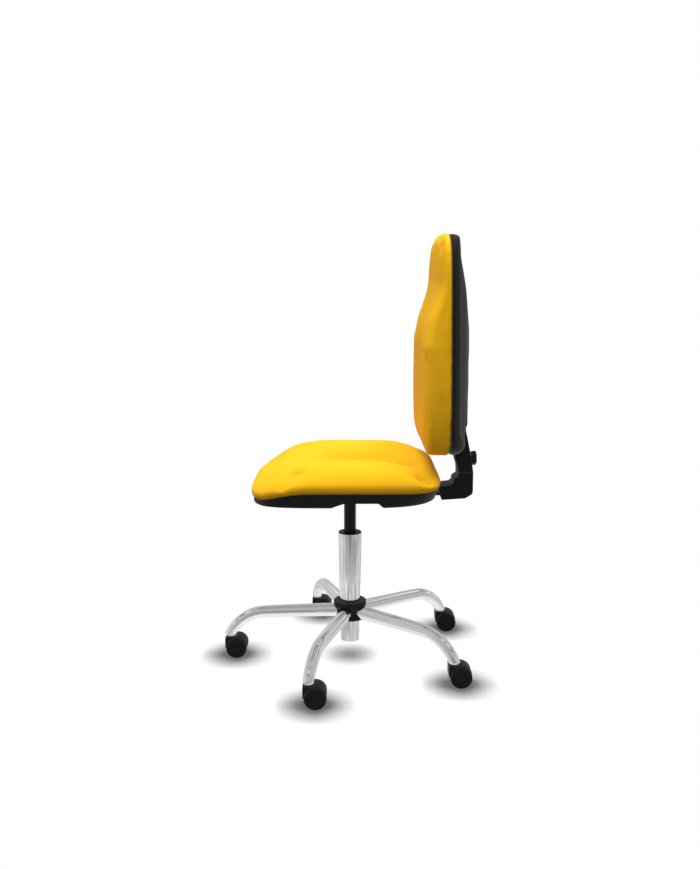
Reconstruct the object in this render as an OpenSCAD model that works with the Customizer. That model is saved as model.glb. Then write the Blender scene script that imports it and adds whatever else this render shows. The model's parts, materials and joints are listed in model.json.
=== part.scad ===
// Ergonomic task chair: five-leg chrome base on castors, gas column, upholstered seat and back.
// Origin on the floor under the column. The seat's front points to -Y, the sitter's left to +X.

/* [Base legs] */
// Radial reach of the lower end of each leg tube
leg_reach = 299; // [270:1:330]
// Height of the leg tube's axis where it enters the hub
leg_root_z = 117; // [112:1:124]
// Height of the cut end of each leg tube
leg_end_z = 53.3; // [53:0.1:56]
// Diameter of the leg tube at the hub
leg_root_d = 33; // [28:0.5:33]
// Diameter of the leg tube at its lower end
leg_tip_d = 20.8; // [18:0.2:24]

/* [Hub] */
// Diameter of the steel hub core
hub_core_d = 68; // [66:1:74]
// Depth of each leg's socket in the hub core
hub_socket = 4.5; // [3:0.5:5]
// Diameter of the plastic hub cover's top collar
hub_cover_d = 80; // [78:1:88]
// Diameter of the hub cover's lower ring
hub_foot_d = 74; // [72:1:78]
// Lowest point of the hub cover
hub_bottom_z = 98; // [95:0.5:99]
// Top of the hub cover's collar
hub_top_z = 143; // [140:1:150]

/* [Castors] */
// Distance of each castor stem's axis inside the leg's reach
stem_inset = 3.6; // [2:0.1:5]
// Trail of the wheel axle behind the stem axis
castor_trail = 15.4; // [12:0.1:17]
// Diameter of a castor wheel
wheel_d = 50; // [46:0.5:51]
// Width of one castor wheel
wheel_w = 19; // [16:0.5:20]
// Width over both wheels of a castor
castor_w = 52; // [50:0.5:58]
// Width of the hood over the wheels
hood_w = 45; // [40:0.5:48]
// Thickness of the central web between the wheels
web_w = 13; // [12.4:0.2:14]
// Diameter of the castor axle
axle_d = 6; // [5:0.5:8]
// Diameter of the castor stem
stem_d = 9; // [8:0.5:10]
// How far the stem reaches up into the leg
stem_grip = 16; // [12:1:18]

/* [Gas column] */
// Lower end of the chrome column tube
column_bottom_z = 41; // [36:0.5:44]
// Upper end of the chrome column tube
column_top_z = 314.5; // [300:0.5:330]
// Outer diameter at the lower end of the column tube
column_bottom_d = 45.2; // [44:0.2:48]
// Outer diameter at the upper end of the column tube
column_top_d = 57.4; // [54:0.2:58]
// Wall of the column tube
column_wall = 2; // [1.5:0.1:3]
// Thickness of the plate across the column tube's lower end
column_floor = 3; // [2:0.5:4]
// Diameter of the black gas cylinder
gas_d = 29; // [28:0.5:32]
// Wall of the gas cylinder
gas_wall = 2; // [1.5:0.5:3]
// Lower end of the gas cylinder at rest
gas_bottom_z = 128; // [122:1:150]
// Diameter of the piston rod
rod_d = 10; // [8:0.5:12]
// Diameter of the release pin on the gas cylinder
valve_d = 6; // [5:0.5:8]
// Length of the plastic guide bush inside the column tube
bush_len = 75; // [50:1:85]
// Height of the guide bush's collar above the tube
bush_collar = 1.5; // [1:0.5:4]

/* [Seat] */
// Width of the seat cushion
seat_w = 456; // [440:2:480]
// Distance of the cushion's front edge in front of the column
seat_front = 230; // [226:1:238]
// Distance of the cushion's rear edge behind the column
seat_rear = 208; // [204:0.5:212]
// Height of the cushion's side crests above the floor
seat_crest_z = 522; // [508:1:532]
// Height of the seam between fabric and shell along the sides
seat_seam_z = 459; // [456:0.5:463]
// How far the seam drops at the front edge
seat_seam_drop = 28; // [18:0.5:30]
// Depth of the hollow along the middle of the seat
seat_hollow = 17; // [5:0.5:22]
// Depth of the dimple at each rear corner
seat_dimple = 9; // [3:0.5:12]
// Underside of the seat shell
seat_shell_z = 424; // [422:0.5:426]
// Height of the cross recess in the seat shell's underside
seat_recess = 9; // [7:0.5:9]
// Length of the cross recess at the shell's underside
seat_recess_len = 112; // [98:1:116]
// Length of the slope at each end of the cross recess
seat_recess_slope = 12.5; // [9:0.5:16]
// Middle of the cross recess behind the column
seat_recess_y = 18; // [12:1:24]
// Thickness of the plastic shells
shell_wall = 3; // [2:0.5:3.5]
// Thickness of the seat board
seat_board = 12; // [10:0.5:12]

/* [Back] */
// Lower edge of the back cushion
back_bottom_z = 530; // [526:1:540]
// Upper edge of the back cushion
back_top_z = 1025; // [980:1:1060]
// Width of the back cushion
back_w = 430; // [400:2:450]
// Plane where the back cushion meets its shell, behind the column
back_seam_y = 220.5; // [219:0.5:224]
// Thickness of the lower back cushion
back_pad = 63; // [50:1:66]
// Thickness of the upper back cushion
back_pad_top = 32.5; // [28:0.5:44]
// Height where the thick lower cushion begins to thin out
shoulder_z = 775; // [750:1:800]
// Height over which it thins out
shoulder_h = 150; // [110:2:180]
// Depth of the hollow between the back's side bolsters
back_hollow = 7; // [0:0.5:12]
// Depth of the rear shell behind the seam plane
back_shell_d = 56; // [55.5:0.5:62]
// Thickness of the back board
back_board = 9; // [8:0.5:9.5]

/* [Back arm] */
// Width of the steel L-bar
bar_w = 50; // [40:1:54]
// Thickness of the steel L-bar
bar_t = 7; // [5:0.5:7.5]
// Height of the L-bar's lower face under the seat
bar_z = 412; // [411:0.5:413]
// Front face of the L-bar's upright, behind the column
bar_y = 264; // [262:0.5:264.5]
// Inner bend radius of the L-bar
bar_bend = 8; // [6:0.5:10]
// Top end of the L-bar
bar_top_z = 664; // [640:1:670]
// Width of the plastic covers on the L-bar
cover_w = 64; // [60:1:70]
// Height of the joint between the two covers
cover_joint_z = 468; // [460:0.5:474]
// Diameter of the back height knob
knob_d = 35; // [28:0.5:38]
// Length of the back height knob
knob_len = 15; // [12:0.5:24]
// Height of the back height knob's axis
knob_z = 498.5; // [492:0.5:506]
// Diameter of the threaded stud in the knob
stud_d = 8; // [6:0.5:8]

/* [Tilt mechanism] */
// Outer width of the pressed steel housing
housing_w = 116; // [108:1:124]
// Front end of the housing ahead of the column
housing_front = 75; // [60:1:80]
// Rear end of the housing behind the column
housing_rear = 154; // [152:1:158]
// Underside of the housing
housing_z = 388; // [386:0.5:389]
// How much higher the housing's near lower edge lies than its underside
housing_bevel_h = 13; // [12.5:0.1:14]
// Sheet thickness of the housing
housing_t = 2.5; // [2:0.1:3]
// Width of the housing's bolting flange
flange_w = 200; // [196:1:206]
// Thickness of the bolting flange
flange_t = 3; // [2:0.5:3]
// Spacing of the flange bolts across the seat
flange_hole_x = 160; // [156:1:166]
// Spacing of the flange bolts along the seat
flange_hole_y = 200; // [196:1:204]
// Diameter of the flange bolts
bolt_d = 8; // [6:0.5:8]
// Tilt pivot behind the column
pivot_y = 118; // [114:0.5:120]
// Height of the tilt pivot
pivot_z = 411; // [410:0.5:412]
// Diameter of the tilt pivot pin
pivot_d = 12; // [10:0.5:14]
// Outer diameter of the barrel that turns on the pivot pin
barrel_d = 24; // [20:0.5:24]
// Wire thickness of the tilt spring
spring_wire = 3; // [2:0.2:4]
// Diameter of the tilt spring through the wire's centre
spring_d = 18; // [14:0.5:19]
// Turns of the tilt spring
spring_turns = 4; // [3:1:5]
// Length of the operating levers from pivot to tip
lever_reach = 178; // [160:1:186]
// Diameter of the lever rods
lever_d = 8; // [6:0.5:8]
// Height of the lever pivots
lever_z = 398; // [397.5:0.5:399]
// Tilt lock lever's place behind the column
lock_y = 84; // [80:1:86]

/* [Arm fixings] */
// Distance of the arm bolts inside the seat board's side edge
arm_edge = 17.84; // [15:0.01:24]
// Spacing of the two arm bolts on each side
arm_pitch = 60; // [50:1:66]
// Diameter of the arm bolt thread's bore
arm_bore_d = 6.8; // [6:0.1:8]

/* [Hidden] */
// Clearances
gap = 0.3;
fit = 0.05;
cut = 1;
wheel_gap = 0.5;

// Base
leg_count = 5;
leg_turn = 360 / leg_count;
leg_first = -90;
leg_root_r = hub_core_d / 2 - hub_socket;
leg_sides = 16;
leg_steps = 2;
// Each station of a leg tube: reach, height and radius between its two ends
leg_reach_shares = [0, 0.377, 0.614, 0.729, 0.818, 0.892, 0.959, 1.0, 1.03];
leg_height_shares = [1, 0.961, 0.93, 0.89, 0.757, 0.553, 0.264, 0, -0.16];
leg_radius_shares = [1, 0.754, 0.6, 0.525, 0.44, 0.37, 0.22, 0.04, 0];
leg_axis_end_z = leg_end_z - fit;
hub_core_top = leg_root_z + leg_root_d / 2 + column_wall;
hub_core_bottom = leg_root_z - leg_root_d / 2 - column_wall / 2;
hub_collar_h = 12;
hub_round = 3;

// Castors
castor_circle_r = leg_reach - stem_inset;
axle_z = wheel_d / 2;
wheel_in_x = castor_w / 2 - wheel_w;
wheel_cap = 4;
wheel_edge = 2;
wheel_groove = 0.8;
hood_gap = 0.8;
hood_top_z = leg_end_z - hood_gap;
hood_r = hood_top_z - axle_z;
hood_front = 15;
hood_round = 5;
hood_rear_angle = 18;
hood_front_z = 14;
stem_foot_z = 30;

// Column
gas_top_z = 412;
gas_cone_z = 386;
gas_cone_taper = 2.4;
gas_cone_top_d = gas_d - gas_cone_taper;
valve_top_z = 418.4;
valve_len = 18;
gas_floor = 10;
gas_roof = 14;
piston_top_z = 295;
piston_h = 10;
clip_h = 1.6;
clip_w = 3;
bearing_h = 5;
bearing_w = 5;
function column_r(z) = (column_bottom_d + (column_top_d - column_bottom_d)
    * (z - column_bottom_z) / (column_top_z - column_bottom_z)) / 2;

// Seat
seat_mid_y = (seat_rear - seat_front) / 2;
seat_half_l = (seat_rear + seat_front) / 2;
seat_half_w = seat_w / 2;
seat_sides = 64;
seat_front_corner = 3.8;
seat_rear_corner = 6.4;
seat_bulge_h = 9;
seat_drop_y = 22;
seat_seam_share = 0.955;
seat_flat_share = 0.8;
seat_board_share = 0.78;
board_z = seat_shell_z + seat_recess + shell_wall;
board_top_z = board_z + seat_board;
seat_front_dome = 1.6;
seat_side_dome = 2.6;
seat_rear_dome = 1.55;
// Seat shell wall, from the rim down: its place across the seat and its fall to the underside
shell_wall_shares = [0.955, 0.951, 0.947, 0.858];
shell_fall_shares = [0, 0.5, 0.82, 1];
// Height of the wall's inner face over its outer one, from the rim down
shell_wall_lifts = [-shell_wall / 2, 0, shell_wall / 2, shell_wall];
shell_front_corner = 4.6;
shell_rear_corner = 3.2;
seat_ring_shares = [1, 0.985, 0.955, 0.91, 0.84, 0.74, 0.6, 0.43, 0.23];
seat_hollow_w = 64;
seat_dimple_x = 180;
seat_dimple_y = 156;
seat_dimple_w = 27;
seat_open_w = 224;
seat_open_l = 262;
seat_open_y = 35;
seat_open_corner = 6.4;
shell_hole_x = (seat_open_w / 2 + seat_board_share * seat_half_w) / 2;
shell_hole_front = 120;
shell_hole_rear = 110;
screw_d = 4;
screw_head_d = 8;
screw_head_h = 2.5;
post_d = 12;

// Back
back_mid_z = (back_top_z + back_bottom_z) / 2;
back_half_h = (back_top_z - back_bottom_z) / 2;
back_half_w = back_w / 2;
back_sides = 64;
back_low_corner = 7;
back_high_corner = 5;
back_taper_share = 0.18;
back_taper_start_share = -0.6;
back_seam_share = 0.986;
back_board_share = 0.9;
back_side_share = 0.3;
back_ring_shares = [1, 0.988, 0.965, 0.93, 0.87, 0.77, 0.62, 0.42, 0.2];
back_low_dome = 4;
back_high_dome = 2.2;
back_hollow_w = 80;
// Rear shell rings: their place across the back and their depth at the sides, top and bottom
rear_ring_shares = [0.974, 0.986, 0.966, 0.91, 0.83, 0.62, 0.38, 0.16];
rear_side_shares = [0, 0.078, 0.167, 0.33, 0.37, 0.676, 0.843, 0.995];
rear_top_shares = [0, 0.146, 0.397, 0.418, 0.455, 0.635, 0.849, 0.995];
rear_bottom_shares = [0, 0.156, 0.536, 0.734, 0.74, 0.848, 0.96, 0.995];
board_y = back_seam_y + back_board;
slot_h = 74;
spine_drop = 32;
spine_edge = 6;
slot_top_z = back_bottom_z + slot_h;

// Back arm
bar_bend_y = bar_y - bar_bend;
bar_bend_z = bar_z + bar_t + bar_bend;
cover_half_w = cover_w / 2;
cover_behind = 22.5;
cover_ahead = 6.5;
cover_below = 9;
cover_above = 15;
cover_rear_y = bar_y + bar_t + cover_behind;
cover_front_y = bar_y - cover_ahead;
cover_bottom_z = bar_z - cover_below;
cover_top_z = bar_z + bar_t + cover_above;
cover_tip_y = 210;
cover_round = 14;
cover_edge = 5;
carriage_lap = 8;
carriage_wall = 1.8;
carriage_neck = 3.3;
carriage_taper = 0.5;
carriage_front_y = cover_front_y - carriage_lap;
carriage_rear_y = bar_y + bar_t + carriage_wall;
carriage_neck_y = bar_y + bar_t + carriage_neck;
carriage_top_h = 86;
carriage_top_z = slot_top_z + carriage_top_h;
carriage_flange_w = 130;
carriage_flange_t = 6;
carriage_bolt_x = 104;
carriage_bolt_rise = 16;
carriage_bolt_pitch = 52;
carriage_bolt_low = slot_top_z + carriage_bolt_rise;
carriage_bolt_high = carriage_bolt_low + carriage_bolt_pitch;
carriage_bolt_d = 6;
bend_steps = 6;
knob_inset = 3.5;
knob_y = cover_rear_y - knob_inset;
knob_lobes = 6;
knob_dome = 2;
lobe_d = 9;

// Mechanism
housing_bevel_x = 12;
arm_x = seat_board_share * seat_half_w - arm_edge;
socket_d = 38;
socket_top_z = 414;
lug_t = 2.5;
lug_w = 12;
hub_d = 12;
hub_w = 14;
lever_x = 36;
lever_pin_d = 5;
finger_z = valve_top_z + gap;
finger_t = 4;
finger_w = 10;
finger_tip = 4;
arm_t = 6;
handle_l = 46;
handle_w = 24;
handle_t = 8;
barrel_w = 70;
pin_head_d = 18;
pin_head_t = 3;
spring_y = pivot_y + barrel_d / 2 + spring_d / 2 + spring_wire;
spring_sides = 6;
spring_steps = 12;
board_nut_wall = 1.5;
board_nut_flange_d = 18;
board_nut_flange_t = 1.5;
bolt_head_d = 13;
bolt_head_h = 5.5;

// Smooth step from 0 at a to 1 at b
function smooth(a, b, v) = let (u = min(1, max(0, (v - a) / (b - a)))) u * u * (3 - 2 * u);
function mix(a, b, u) = a + (b - a) * u;
function bell(d, w) = exp(-pow(d / w, 2));
// Unit superellipse
function oval(t, n) = [sign(cos(t)) * pow(abs(cos(t)), 2 / n), sign(sin(t)) * pow(abs(sin(t)), 2 / n)];
// Height share of a dome at distance share p from its middle
function dome(p, m) = pow(max(0, 1 - pow(min(p, 1), m)), 1 / m);
// Catmull-Rom blend of a list between entries i and i + 1
function spline(list, i, u) = let (
        a = list[max(0, i - 1)], b = list[i],
        c = list[min(len(list) - 1, i + 1)], d = list[min(len(list) - 1, i + 2)]
    ) 0.5 * (2 * b + (c - a) * u + (2 * a - 5 * b + 4 * c - d) * u * u + (3 * b - a - 3 * c + d) * u * u * u);

// Triangles between ring a and ring b of n points each
function band(a, b, n) = [for (j = [0:n - 1]) each
    [[a + j, b + j, b + (j + 1) % n], [a + j, b + (j + 1) % n, a + (j + 1) % n]]];

// Solid through rings of points, closed by a fan to a point at each end
module ringed(rings, first, last) {
    n = len(rings[0]);
    k = len(rings);
    points = concat([for (r = rings) each r], [first, last]);
    faces = concat(
        [for (i = [0:k - 2]) each band(i * n, (i + 1) * n, n)],
        [for (j = [0:n - 1]) [j, (j + 1) % n, k * n]],
        [for (j = [0:n - 1]) [(k - 1) * n + (j + 1) % n, (k - 1) * n + j, k * n + 1]]);
    polyhedron(points, faces);
}

// Solid through rings of points whose last ring joins the first
module looped(rings) {
    n = len(rings[0]);
    k = len(rings);
    polyhedron([for (r = rings) each r],
        [for (i = [0:k - 1]) each band(i * n, ((i + 1) % k) * n, n)]);
}

// Round bar along X between x1 and x2
module bar_x(x1, x2, d, y, z) {
    translate([x1, y, z]) rotate([0, 90, 0]) cylinder(h = x2 - x1, d = d, $fn = 48);
}

// Round bar along Y between y1 and y2
module bar_y_dir(y1, y2, d, x, z) {
    translate([x, y1, z]) rotate([-90, 0, 0]) cylinder(h = y2 - y1, d = d, $fn = 48);
}

// Box between two corners
module box(low, high) {
    translate(low) cube(high - low);
}

// Side outline in Y and Z, given width across X
module slab(width) {
    translate([-width / 2, 0, 0]) rotate([90, 0, 90]) linear_extrude(width) children();
}

// Legs
function leg_station(i, u) = [
    mix(leg_root_r, leg_reach, spline(leg_reach_shares, i, u)),
    mix(leg_axis_end_z, leg_root_z, spline(leg_height_shares, i, u)),
    mix(leg_tip_d, leg_root_d, spline(leg_radius_shares, i, u)) / 2];
leg_path = concat(
    [for (i = [0:len(leg_reach_shares) - 2], s = [0:leg_steps - 1]) leg_station(i, s / leg_steps)],
    [leg_station(len(leg_reach_shares) - 2, 1)]);
function leg_ring(i) = let (
        here = leg_path[i],
        before = leg_path[max(0, i - 1)],
        after = leg_path[min(len(leg_path) - 1, i + 1)],
        way = i == 0 ? [1, 0] : [after[0] - before[0], after[1] - before[1]],
        len_way = norm(way),
        up = [-way[1], way[0]] / len_way
    ) [for (j = [0:leg_sides - 1]) let (a = 360 * j / leg_sides, c = here[2] * cos(a), s = here[2] * sin(a))
        [here[0] + up[0] * c, -s, here[1] + up[1] * c]];

module leg(i) {
    last = len(leg_path) - 1;
    color("silver") rotate([0, 0, leg_first + i * leg_turn]) difference() {
        ringed([for (k = [last:-1:0]) leg_ring(k)],
            [leg_path[last][0], 0, leg_path[last][1]], [leg_path[0][0], 0, leg_path[0][1]]);
        box([leg_reach - leg_root_d, -leg_root_d, leg_end_z - leg_root_d],
            [leg_reach + leg_root_d, leg_root_d, leg_end_z]);
        translate([castor_circle_r, 0, leg_end_z - cut])
            cylinder(h = stem_grip + cut + gap, d = stem_d + 2 * fit, $fn = 48);
    }
}

// Hub
module hub_core() {
    color("dimgray") difference() {
        translate([0, 0, hub_core_bottom])
            cylinder(h = hub_core_top - hub_core_bottom, d = hub_core_d, $fn = 96);
        translate([0, 0, hub_core_bottom - cut])
            cylinder(h = hub_core_top - hub_core_bottom + 2 * cut,
                r1 = column_r(hub_core_bottom - cut) + fit,
                r2 = column_r(hub_core_top + cut) + fit, $fn = 96);
        for (i = [0:leg_count - 1]) rotate([0, 0, leg_first + i * leg_turn])
            bar_x(leg_root_r - fit, hub_core_d, leg_root_d + 2 * fit, 0, leg_root_z);
    }
}

module hub_cover() {
    core_r = hub_core_d / 2 + gap;
    color("#202020") difference() {
        rotate_extrude($fn = 96) polygon([
            [column_r(hub_bottom_z) + gap, hub_bottom_z],
            [hub_foot_d / 2 - hub_round, hub_bottom_z],
            [hub_foot_d / 2, hub_bottom_z + hub_round],
            [core_r + hub_round / 2, leg_root_z],
            [hub_cover_d / 2, hub_top_z - hub_collar_h],
            [hub_cover_d / 2, hub_top_z - hub_round],
            [hub_cover_d / 2 - hub_round, hub_top_z],
            [column_r(hub_top_z) + gap, hub_top_z]]);
        translate([0, 0, hub_core_bottom - gap])
            cylinder(h = hub_core_top - hub_core_bottom + 2 * gap, r = core_r, $fn = 96);
        for (i = [0:leg_count - 1]) rotate([0, 0, leg_first + i * leg_turn])
            bar_x(column_r(leg_root_z), hub_cover_d, leg_root_d + 2 * gap, 0, leg_root_z);
    }
}

// Moves to castor i's stem axis on the floor
module at_castor(i) {
    a = leg_first + i * leg_turn;
    translate([castor_circle_r * cos(a), castor_circle_r * sin(a), 0]) children();
}

// Castors
module castor_hood(i) {
    arc_from = hood_rear_angle;
    arc_to = 90;
    inner_r = wheel_d / 2 + wheel_gap;
    steps = 12;
    color("#181818") at_castor(i) difference() {
        union() {
            slab(hood_w) polygon(concat(
                [for (k = [0:steps]) let (a = mix(arc_from, arc_to, k / steps))
                    [castor_trail + hood_r * cos(a), axle_z + hood_r * sin(a)]],
                [for (k = [0:steps / 2]) let (a = mix(90, 180, k / steps * 2))
                    [hood_round - hood_front + hood_round * cos(a),
                        hood_top_z - hood_round + hood_round * sin(a)]],
                [[-hood_front, hood_front_z], [-hood_front / 2, hood_front_z],
                    [castor_trail, axle_z - axle_d], [castor_trail + axle_d, axle_z]]));
        }
        for (side = [-1, 1]) scale([side, 1, 1])
            bar_x(web_w / 2, castor_w, 2 * inner_r, castor_trail, axle_z);
        bar_x(-castor_w, castor_w, axle_d + 2 * fit, castor_trail, axle_z);
        translate([0, 0, stem_foot_z - gap])
            cylinder(h = hood_top_z, d = stem_d + 2 * fit, $fn = 48);
    }
}

module castor_stem(i) {
    color("silver") at_castor(i) translate([0, 0, stem_foot_z])
        cylinder(h = leg_end_z + stem_grip - stem_foot_z, d = stem_d, $fn = 48);
}

module castor_axle(i) {
    reach = castor_w / 2 - wheel_cap - fit;
    color("silver") at_castor(i) bar_x(-reach, reach, axle_d, castor_trail, axle_z);
}

// Wheel on side 1 (left) or -1 (right)
module castor_wheel(i, side) {
    r = wheel_d / 2;
    bore = axle_d / 2 + fit;
    color("#181818") at_castor(i)
    translate([side * wheel_in_x, castor_trail, axle_z]) rotate([0, side * 90, 0])
        rotate_extrude($fn = 72) polygon([
            [0, wheel_w - wheel_cap], [bore, wheel_w - wheel_cap], [bore, 0],
            [r - wheel_edge, 0], [r, wheel_edge], [r, wheel_w - wheel_edge],
            [r - wheel_edge / 2, wheel_w - wheel_groove], [r - wheel_edge, wheel_w - wheel_groove / 2],
            [r - wheel_edge, wheel_w - 2 * wheel_groove], [r - 2 * wheel_edge, wheel_w - 2 * wheel_groove],
            [r - 2 * wheel_edge - wheel_groove, wheel_w - wheel_groove], [0, wheel_w]]);
}

// Gas column
module column_tube() {
    floor_z = column_bottom_z + column_wall + column_floor;
    color("silver") difference() {
        translate([0, 0, column_bottom_z]) cylinder(h = column_top_z - column_bottom_z,
            d1 = column_bottom_d, d2 = column_top_d, $fn = 96);
        translate([0, 0, floor_z]) cylinder(h = column_top_z - floor_z + cut,
            r1 = column_r(floor_z) - column_wall, r2 = column_r(column_top_z + cut) - column_wall, $fn = 96);
        translate([0, 0, column_bottom_z - cut])
            cylinder(h = column_wall + cut, r = column_r(column_bottom_z) - column_wall, $fn = 96);
        translate([0, 0, column_bottom_z]) cylinder(h = floor_z, d = rod_d + 2 * fit, $fn = 48);
    }
}

module column_bush() {
    low_z = column_top_z - bush_len;
    color("#202020") difference() {
        union() {
            translate([0, 0, low_z]) cylinder(h = bush_len,
                r1 = column_r(low_z) - column_wall - fit,
                r2 = column_r(column_top_z) - column_wall - fit, $fn = 96);
            translate([0, 0, column_top_z])
                cylinder(h = bush_collar, r = column_r(column_top_z) - column_wall / 2, $fn = 96);
        }
        translate([0, 0, low_z - cut])
            cylinder(h = bush_len + bush_collar + 2 * cut, d = gas_d + 3 * fit, $fn = 96);
    }
}

module piston_rod() {
    low_z = column_bottom_z + fit;
    color("silver") {
        translate([0, 0, low_z]) cylinder(h = piston_top_z - low_z, d = rod_d, $fn = 48);
        translate([0, 0, piston_top_z - piston_h])
            cylinder(h = piston_h, d = gas_d - 2 * gas_wall - 4 * fit, $fn = 64);
    }
}

module rod_clip() {
    color("dimgray") difference() {
        translate([0, 0, column_bottom_z + fit])
            cylinder(h = clip_h, d = rod_d + 2 * clip_w, $fn = 48);
        translate([0, 0, column_bottom_z]) cylinder(h = clip_h + cut, d = rod_d + 2 * fit, $fn = 48);
    }
}

module thrust_bearing() {
    color("dimgray") difference() {
        translate([0, 0, column_bottom_z + column_wall + column_floor + gap])
            cylinder(h = bearing_h, d = rod_d + 2 * bearing_w, $fn = 48);
        translate([0, 0, column_bottom_z])
            cylinder(h = column_wall + column_floor + bearing_h + cut, d = rod_d + 2 * fit, $fn = 48);
    }
}

module gas_cylinder() {
    color("#141414") difference() {
        union() {
            translate([0, 0, gas_bottom_z]) cylinder(h = gas_cone_z - gas_bottom_z, d = gas_d, $fn = 64);
            translate([0, 0, gas_cone_z])
                cylinder(h = gas_top_z - gas_cone_z, d1 = gas_d, d2 = gas_cone_top_d, $fn = 64);
        }
        translate([0, 0, gas_bottom_z + gas_floor])
            cylinder(h = gas_top_z - gas_roof - gas_bottom_z - gas_floor, d = gas_d - 2 * gas_wall, $fn = 64);
        translate([0, 0, gas_bottom_z - cut])
            cylinder(h = gas_floor + 2 * cut, d = rod_d + 2 * fit, $fn = 48);
        translate([0, 0, gas_top_z - gas_roof]) cylinder(h = gas_roof + cut, d = valve_d + 2 * fit, $fn = 48);
    }
}

module valve_pin() {
    color("gold") translate([0, 0, valve_top_z - valve_len]) cylinder(h = valve_len, d = valve_d, $fn = 48);
}

// Flange bolt places
module at_flange_bolts() {
    mid_y = (housing_rear - housing_front) / 2;
    for (x = [-1, 1], y = [-1, 1])
        translate([x * flange_hole_x / 2, mid_y + y * flange_hole_y / 2, 0]) children();
}

module at_arm_bolts() {
    for (x = [-1, 1], y = [-1, 1]) translate([x * arm_x, seat_recess_y + y * arm_pitch / 2, 0]) children();
}

module at_shell_screws() {
    for (x = [-1, 1], y = [-shell_hole_front, shell_hole_rear])
        translate([x * shell_hole_x, y, 0]) children();
}

// Tilt mechanism
// Trough with a bevelled near lower edge, its wall set in by t
module housing_trough(t, front, rear, top) {
    half = housing_w / 2 - t;
    low = housing_z + t;
    translate([0, rear, 0]) rotate([90, 0, 0]) linear_extrude(rear - front)
        polygon([[-half, low], [housing_bevel_x, low], [half, low + housing_bevel_h],
            [half, top], [-half, top]]);
}

module mechanism_housing() {
    flange_z = board_z - flange_t;
    half = housing_w / 2;
    margin = (flange_w - flange_hole_x) / 2;
    mid_y = (housing_rear - housing_front) / 2;
    reach_y = flange_hole_y / 2 + margin;
    color("#303030") difference() {
        union() {
            box([-flange_w / 2, mid_y - reach_y, flange_z], [flange_w / 2, mid_y + reach_y, board_z]);
            difference() {
                housing_trough(0, -housing_front, housing_rear, board_z - flange_t / 2);
                housing_trough(housing_t, housing_t - housing_front, housing_rear + cut, flange_z);
            }
            translate([0, 0, housing_z + housing_t / 2])
                cylinder(h = socket_top_z - housing_z - housing_t / 2, d = socket_d, $fn = 64);
            for (y = [0, lock_y], s = [-1, 1])
                translate([-lever_x, y + s * (hub_w / 2 + gap + lug_t / 2), 0])
                    box([-lug_w / 2, -lug_t / 2, lever_z - hub_d / 2],
                        [lug_w / 2, lug_t / 2, flange_z + flange_t / 2]);
        }
        translate([0, 0, gas_cone_z]) cylinder(h = gas_top_z - gas_cone_z,
            d1 = gas_d + 2 * fit, d2 = gas_cone_top_d + 2 * fit, $fn = 64);
        translate([0, 0, gas_top_z - fit])
            cylinder(h = socket_top_z - gas_top_z + cut, d = gas_cone_top_d, $fn = 64);
        translate([0, 0, housing_z - cut])
            cylinder(h = gas_cone_z - housing_z + 2 * cut, d = gas_d + 2 * fit, $fn = 64);
        bar_x(-housing_w, housing_w, pivot_d + 2 * fit, pivot_y, pivot_z);
        for (y = [0, lock_y]) {
            bar_y_dir(y - lever_x, y + lever_x, lever_pin_d + 2 * fit, -lever_x, lever_z);
            box([-half - cut, y - lever_d / 2 - cut, lever_z - lever_d / 2 - cut],
                [housing_t + cut - half, y + lever_d / 2 + cut, lever_z + lever_d + 2 * cut]);
        }
        at_flange_bolts() translate([0, 0, housing_z]) cylinder(h = board_z, d = bolt_d + 2 * gap, $fn = 32);
    }
}

module tilt_pivot_pin() {
    half = housing_w / 2 + fit;
    color("silver") {
        bar_x(-half - pin_head_t, half + pin_head_t, pivot_d, pivot_y, pivot_z);
        for (x = [half, -half - pin_head_t]) bar_x(x, x + pin_head_t, pin_head_d, pivot_y, pivot_z);
    }
}

module tilt_spring() {
    low_z = housing_z + housing_t + spring_wire / 2 + gap;
    rise = bar_z - gap - spring_wire / 2 - low_z;
    total = spring_turns * spring_steps;
    function coil(i) = let (a = 360 * i / spring_steps)
        [for (j = [0:spring_sides - 1]) let (
                b = 360 * j / spring_sides,
                r = spring_d / 2 + spring_wire / 2 * cos(b)
            ) [r * cos(a), r * sin(a), low_z + rise * i / total + spring_wire / 2 * sin(b)]];
    color("dimgray") translate([0, spring_y, 0]) ringed([for (i = [total:-1:0]) coil(i)],
        [spring_d / 2, 0, low_z + rise], [spring_d / 2, 0, low_z]);
}

module lever_pins() {
    reach = hub_w / 2 + gap + lug_t + fit;
    color("silver") for (y = [0, lock_y]) bar_y_dir(y - reach, y + reach, lever_pin_d, -lever_x, lever_z);
}

// Lever rod with its hub and flat handle, pivoting on a pin along Y
module lever_body(y) {
    tip = -lever_x - lever_reach;
    difference() {
        union() {
            bar_x(tip + handle_l / 2, -lever_x, lever_d, y, lever_z);
            bar_y_dir(y - hub_w / 2, y + hub_w / 2, hub_d, -lever_x, lever_z);
            children();
            translate([tip, y, lever_z - handle_t / 2]) {
                translate([handle_w / 2, 0, 0]) cylinder(h = handle_t, d = handle_w, $fn = 48);
                box([handle_w / 2, -handle_w / 2, 0], [handle_l, handle_w / 2, handle_t]);
            }
        }
        bar_y_dir(y - hub_w, y + hub_w, lever_pin_d + 2 * fit, -lever_x, lever_z);
    }
}

module height_lever() {
    color("#1c1c1c") lever_body(0) {
        box([-lever_x, -finger_w / 2, lever_z], [arm_t - lever_x, finger_w / 2, finger_z + finger_t]);
        box([-lever_x, -finger_w / 2, finger_z], [finger_tip, finger_w / 2, finger_z + finger_t]);
    }
}

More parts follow.
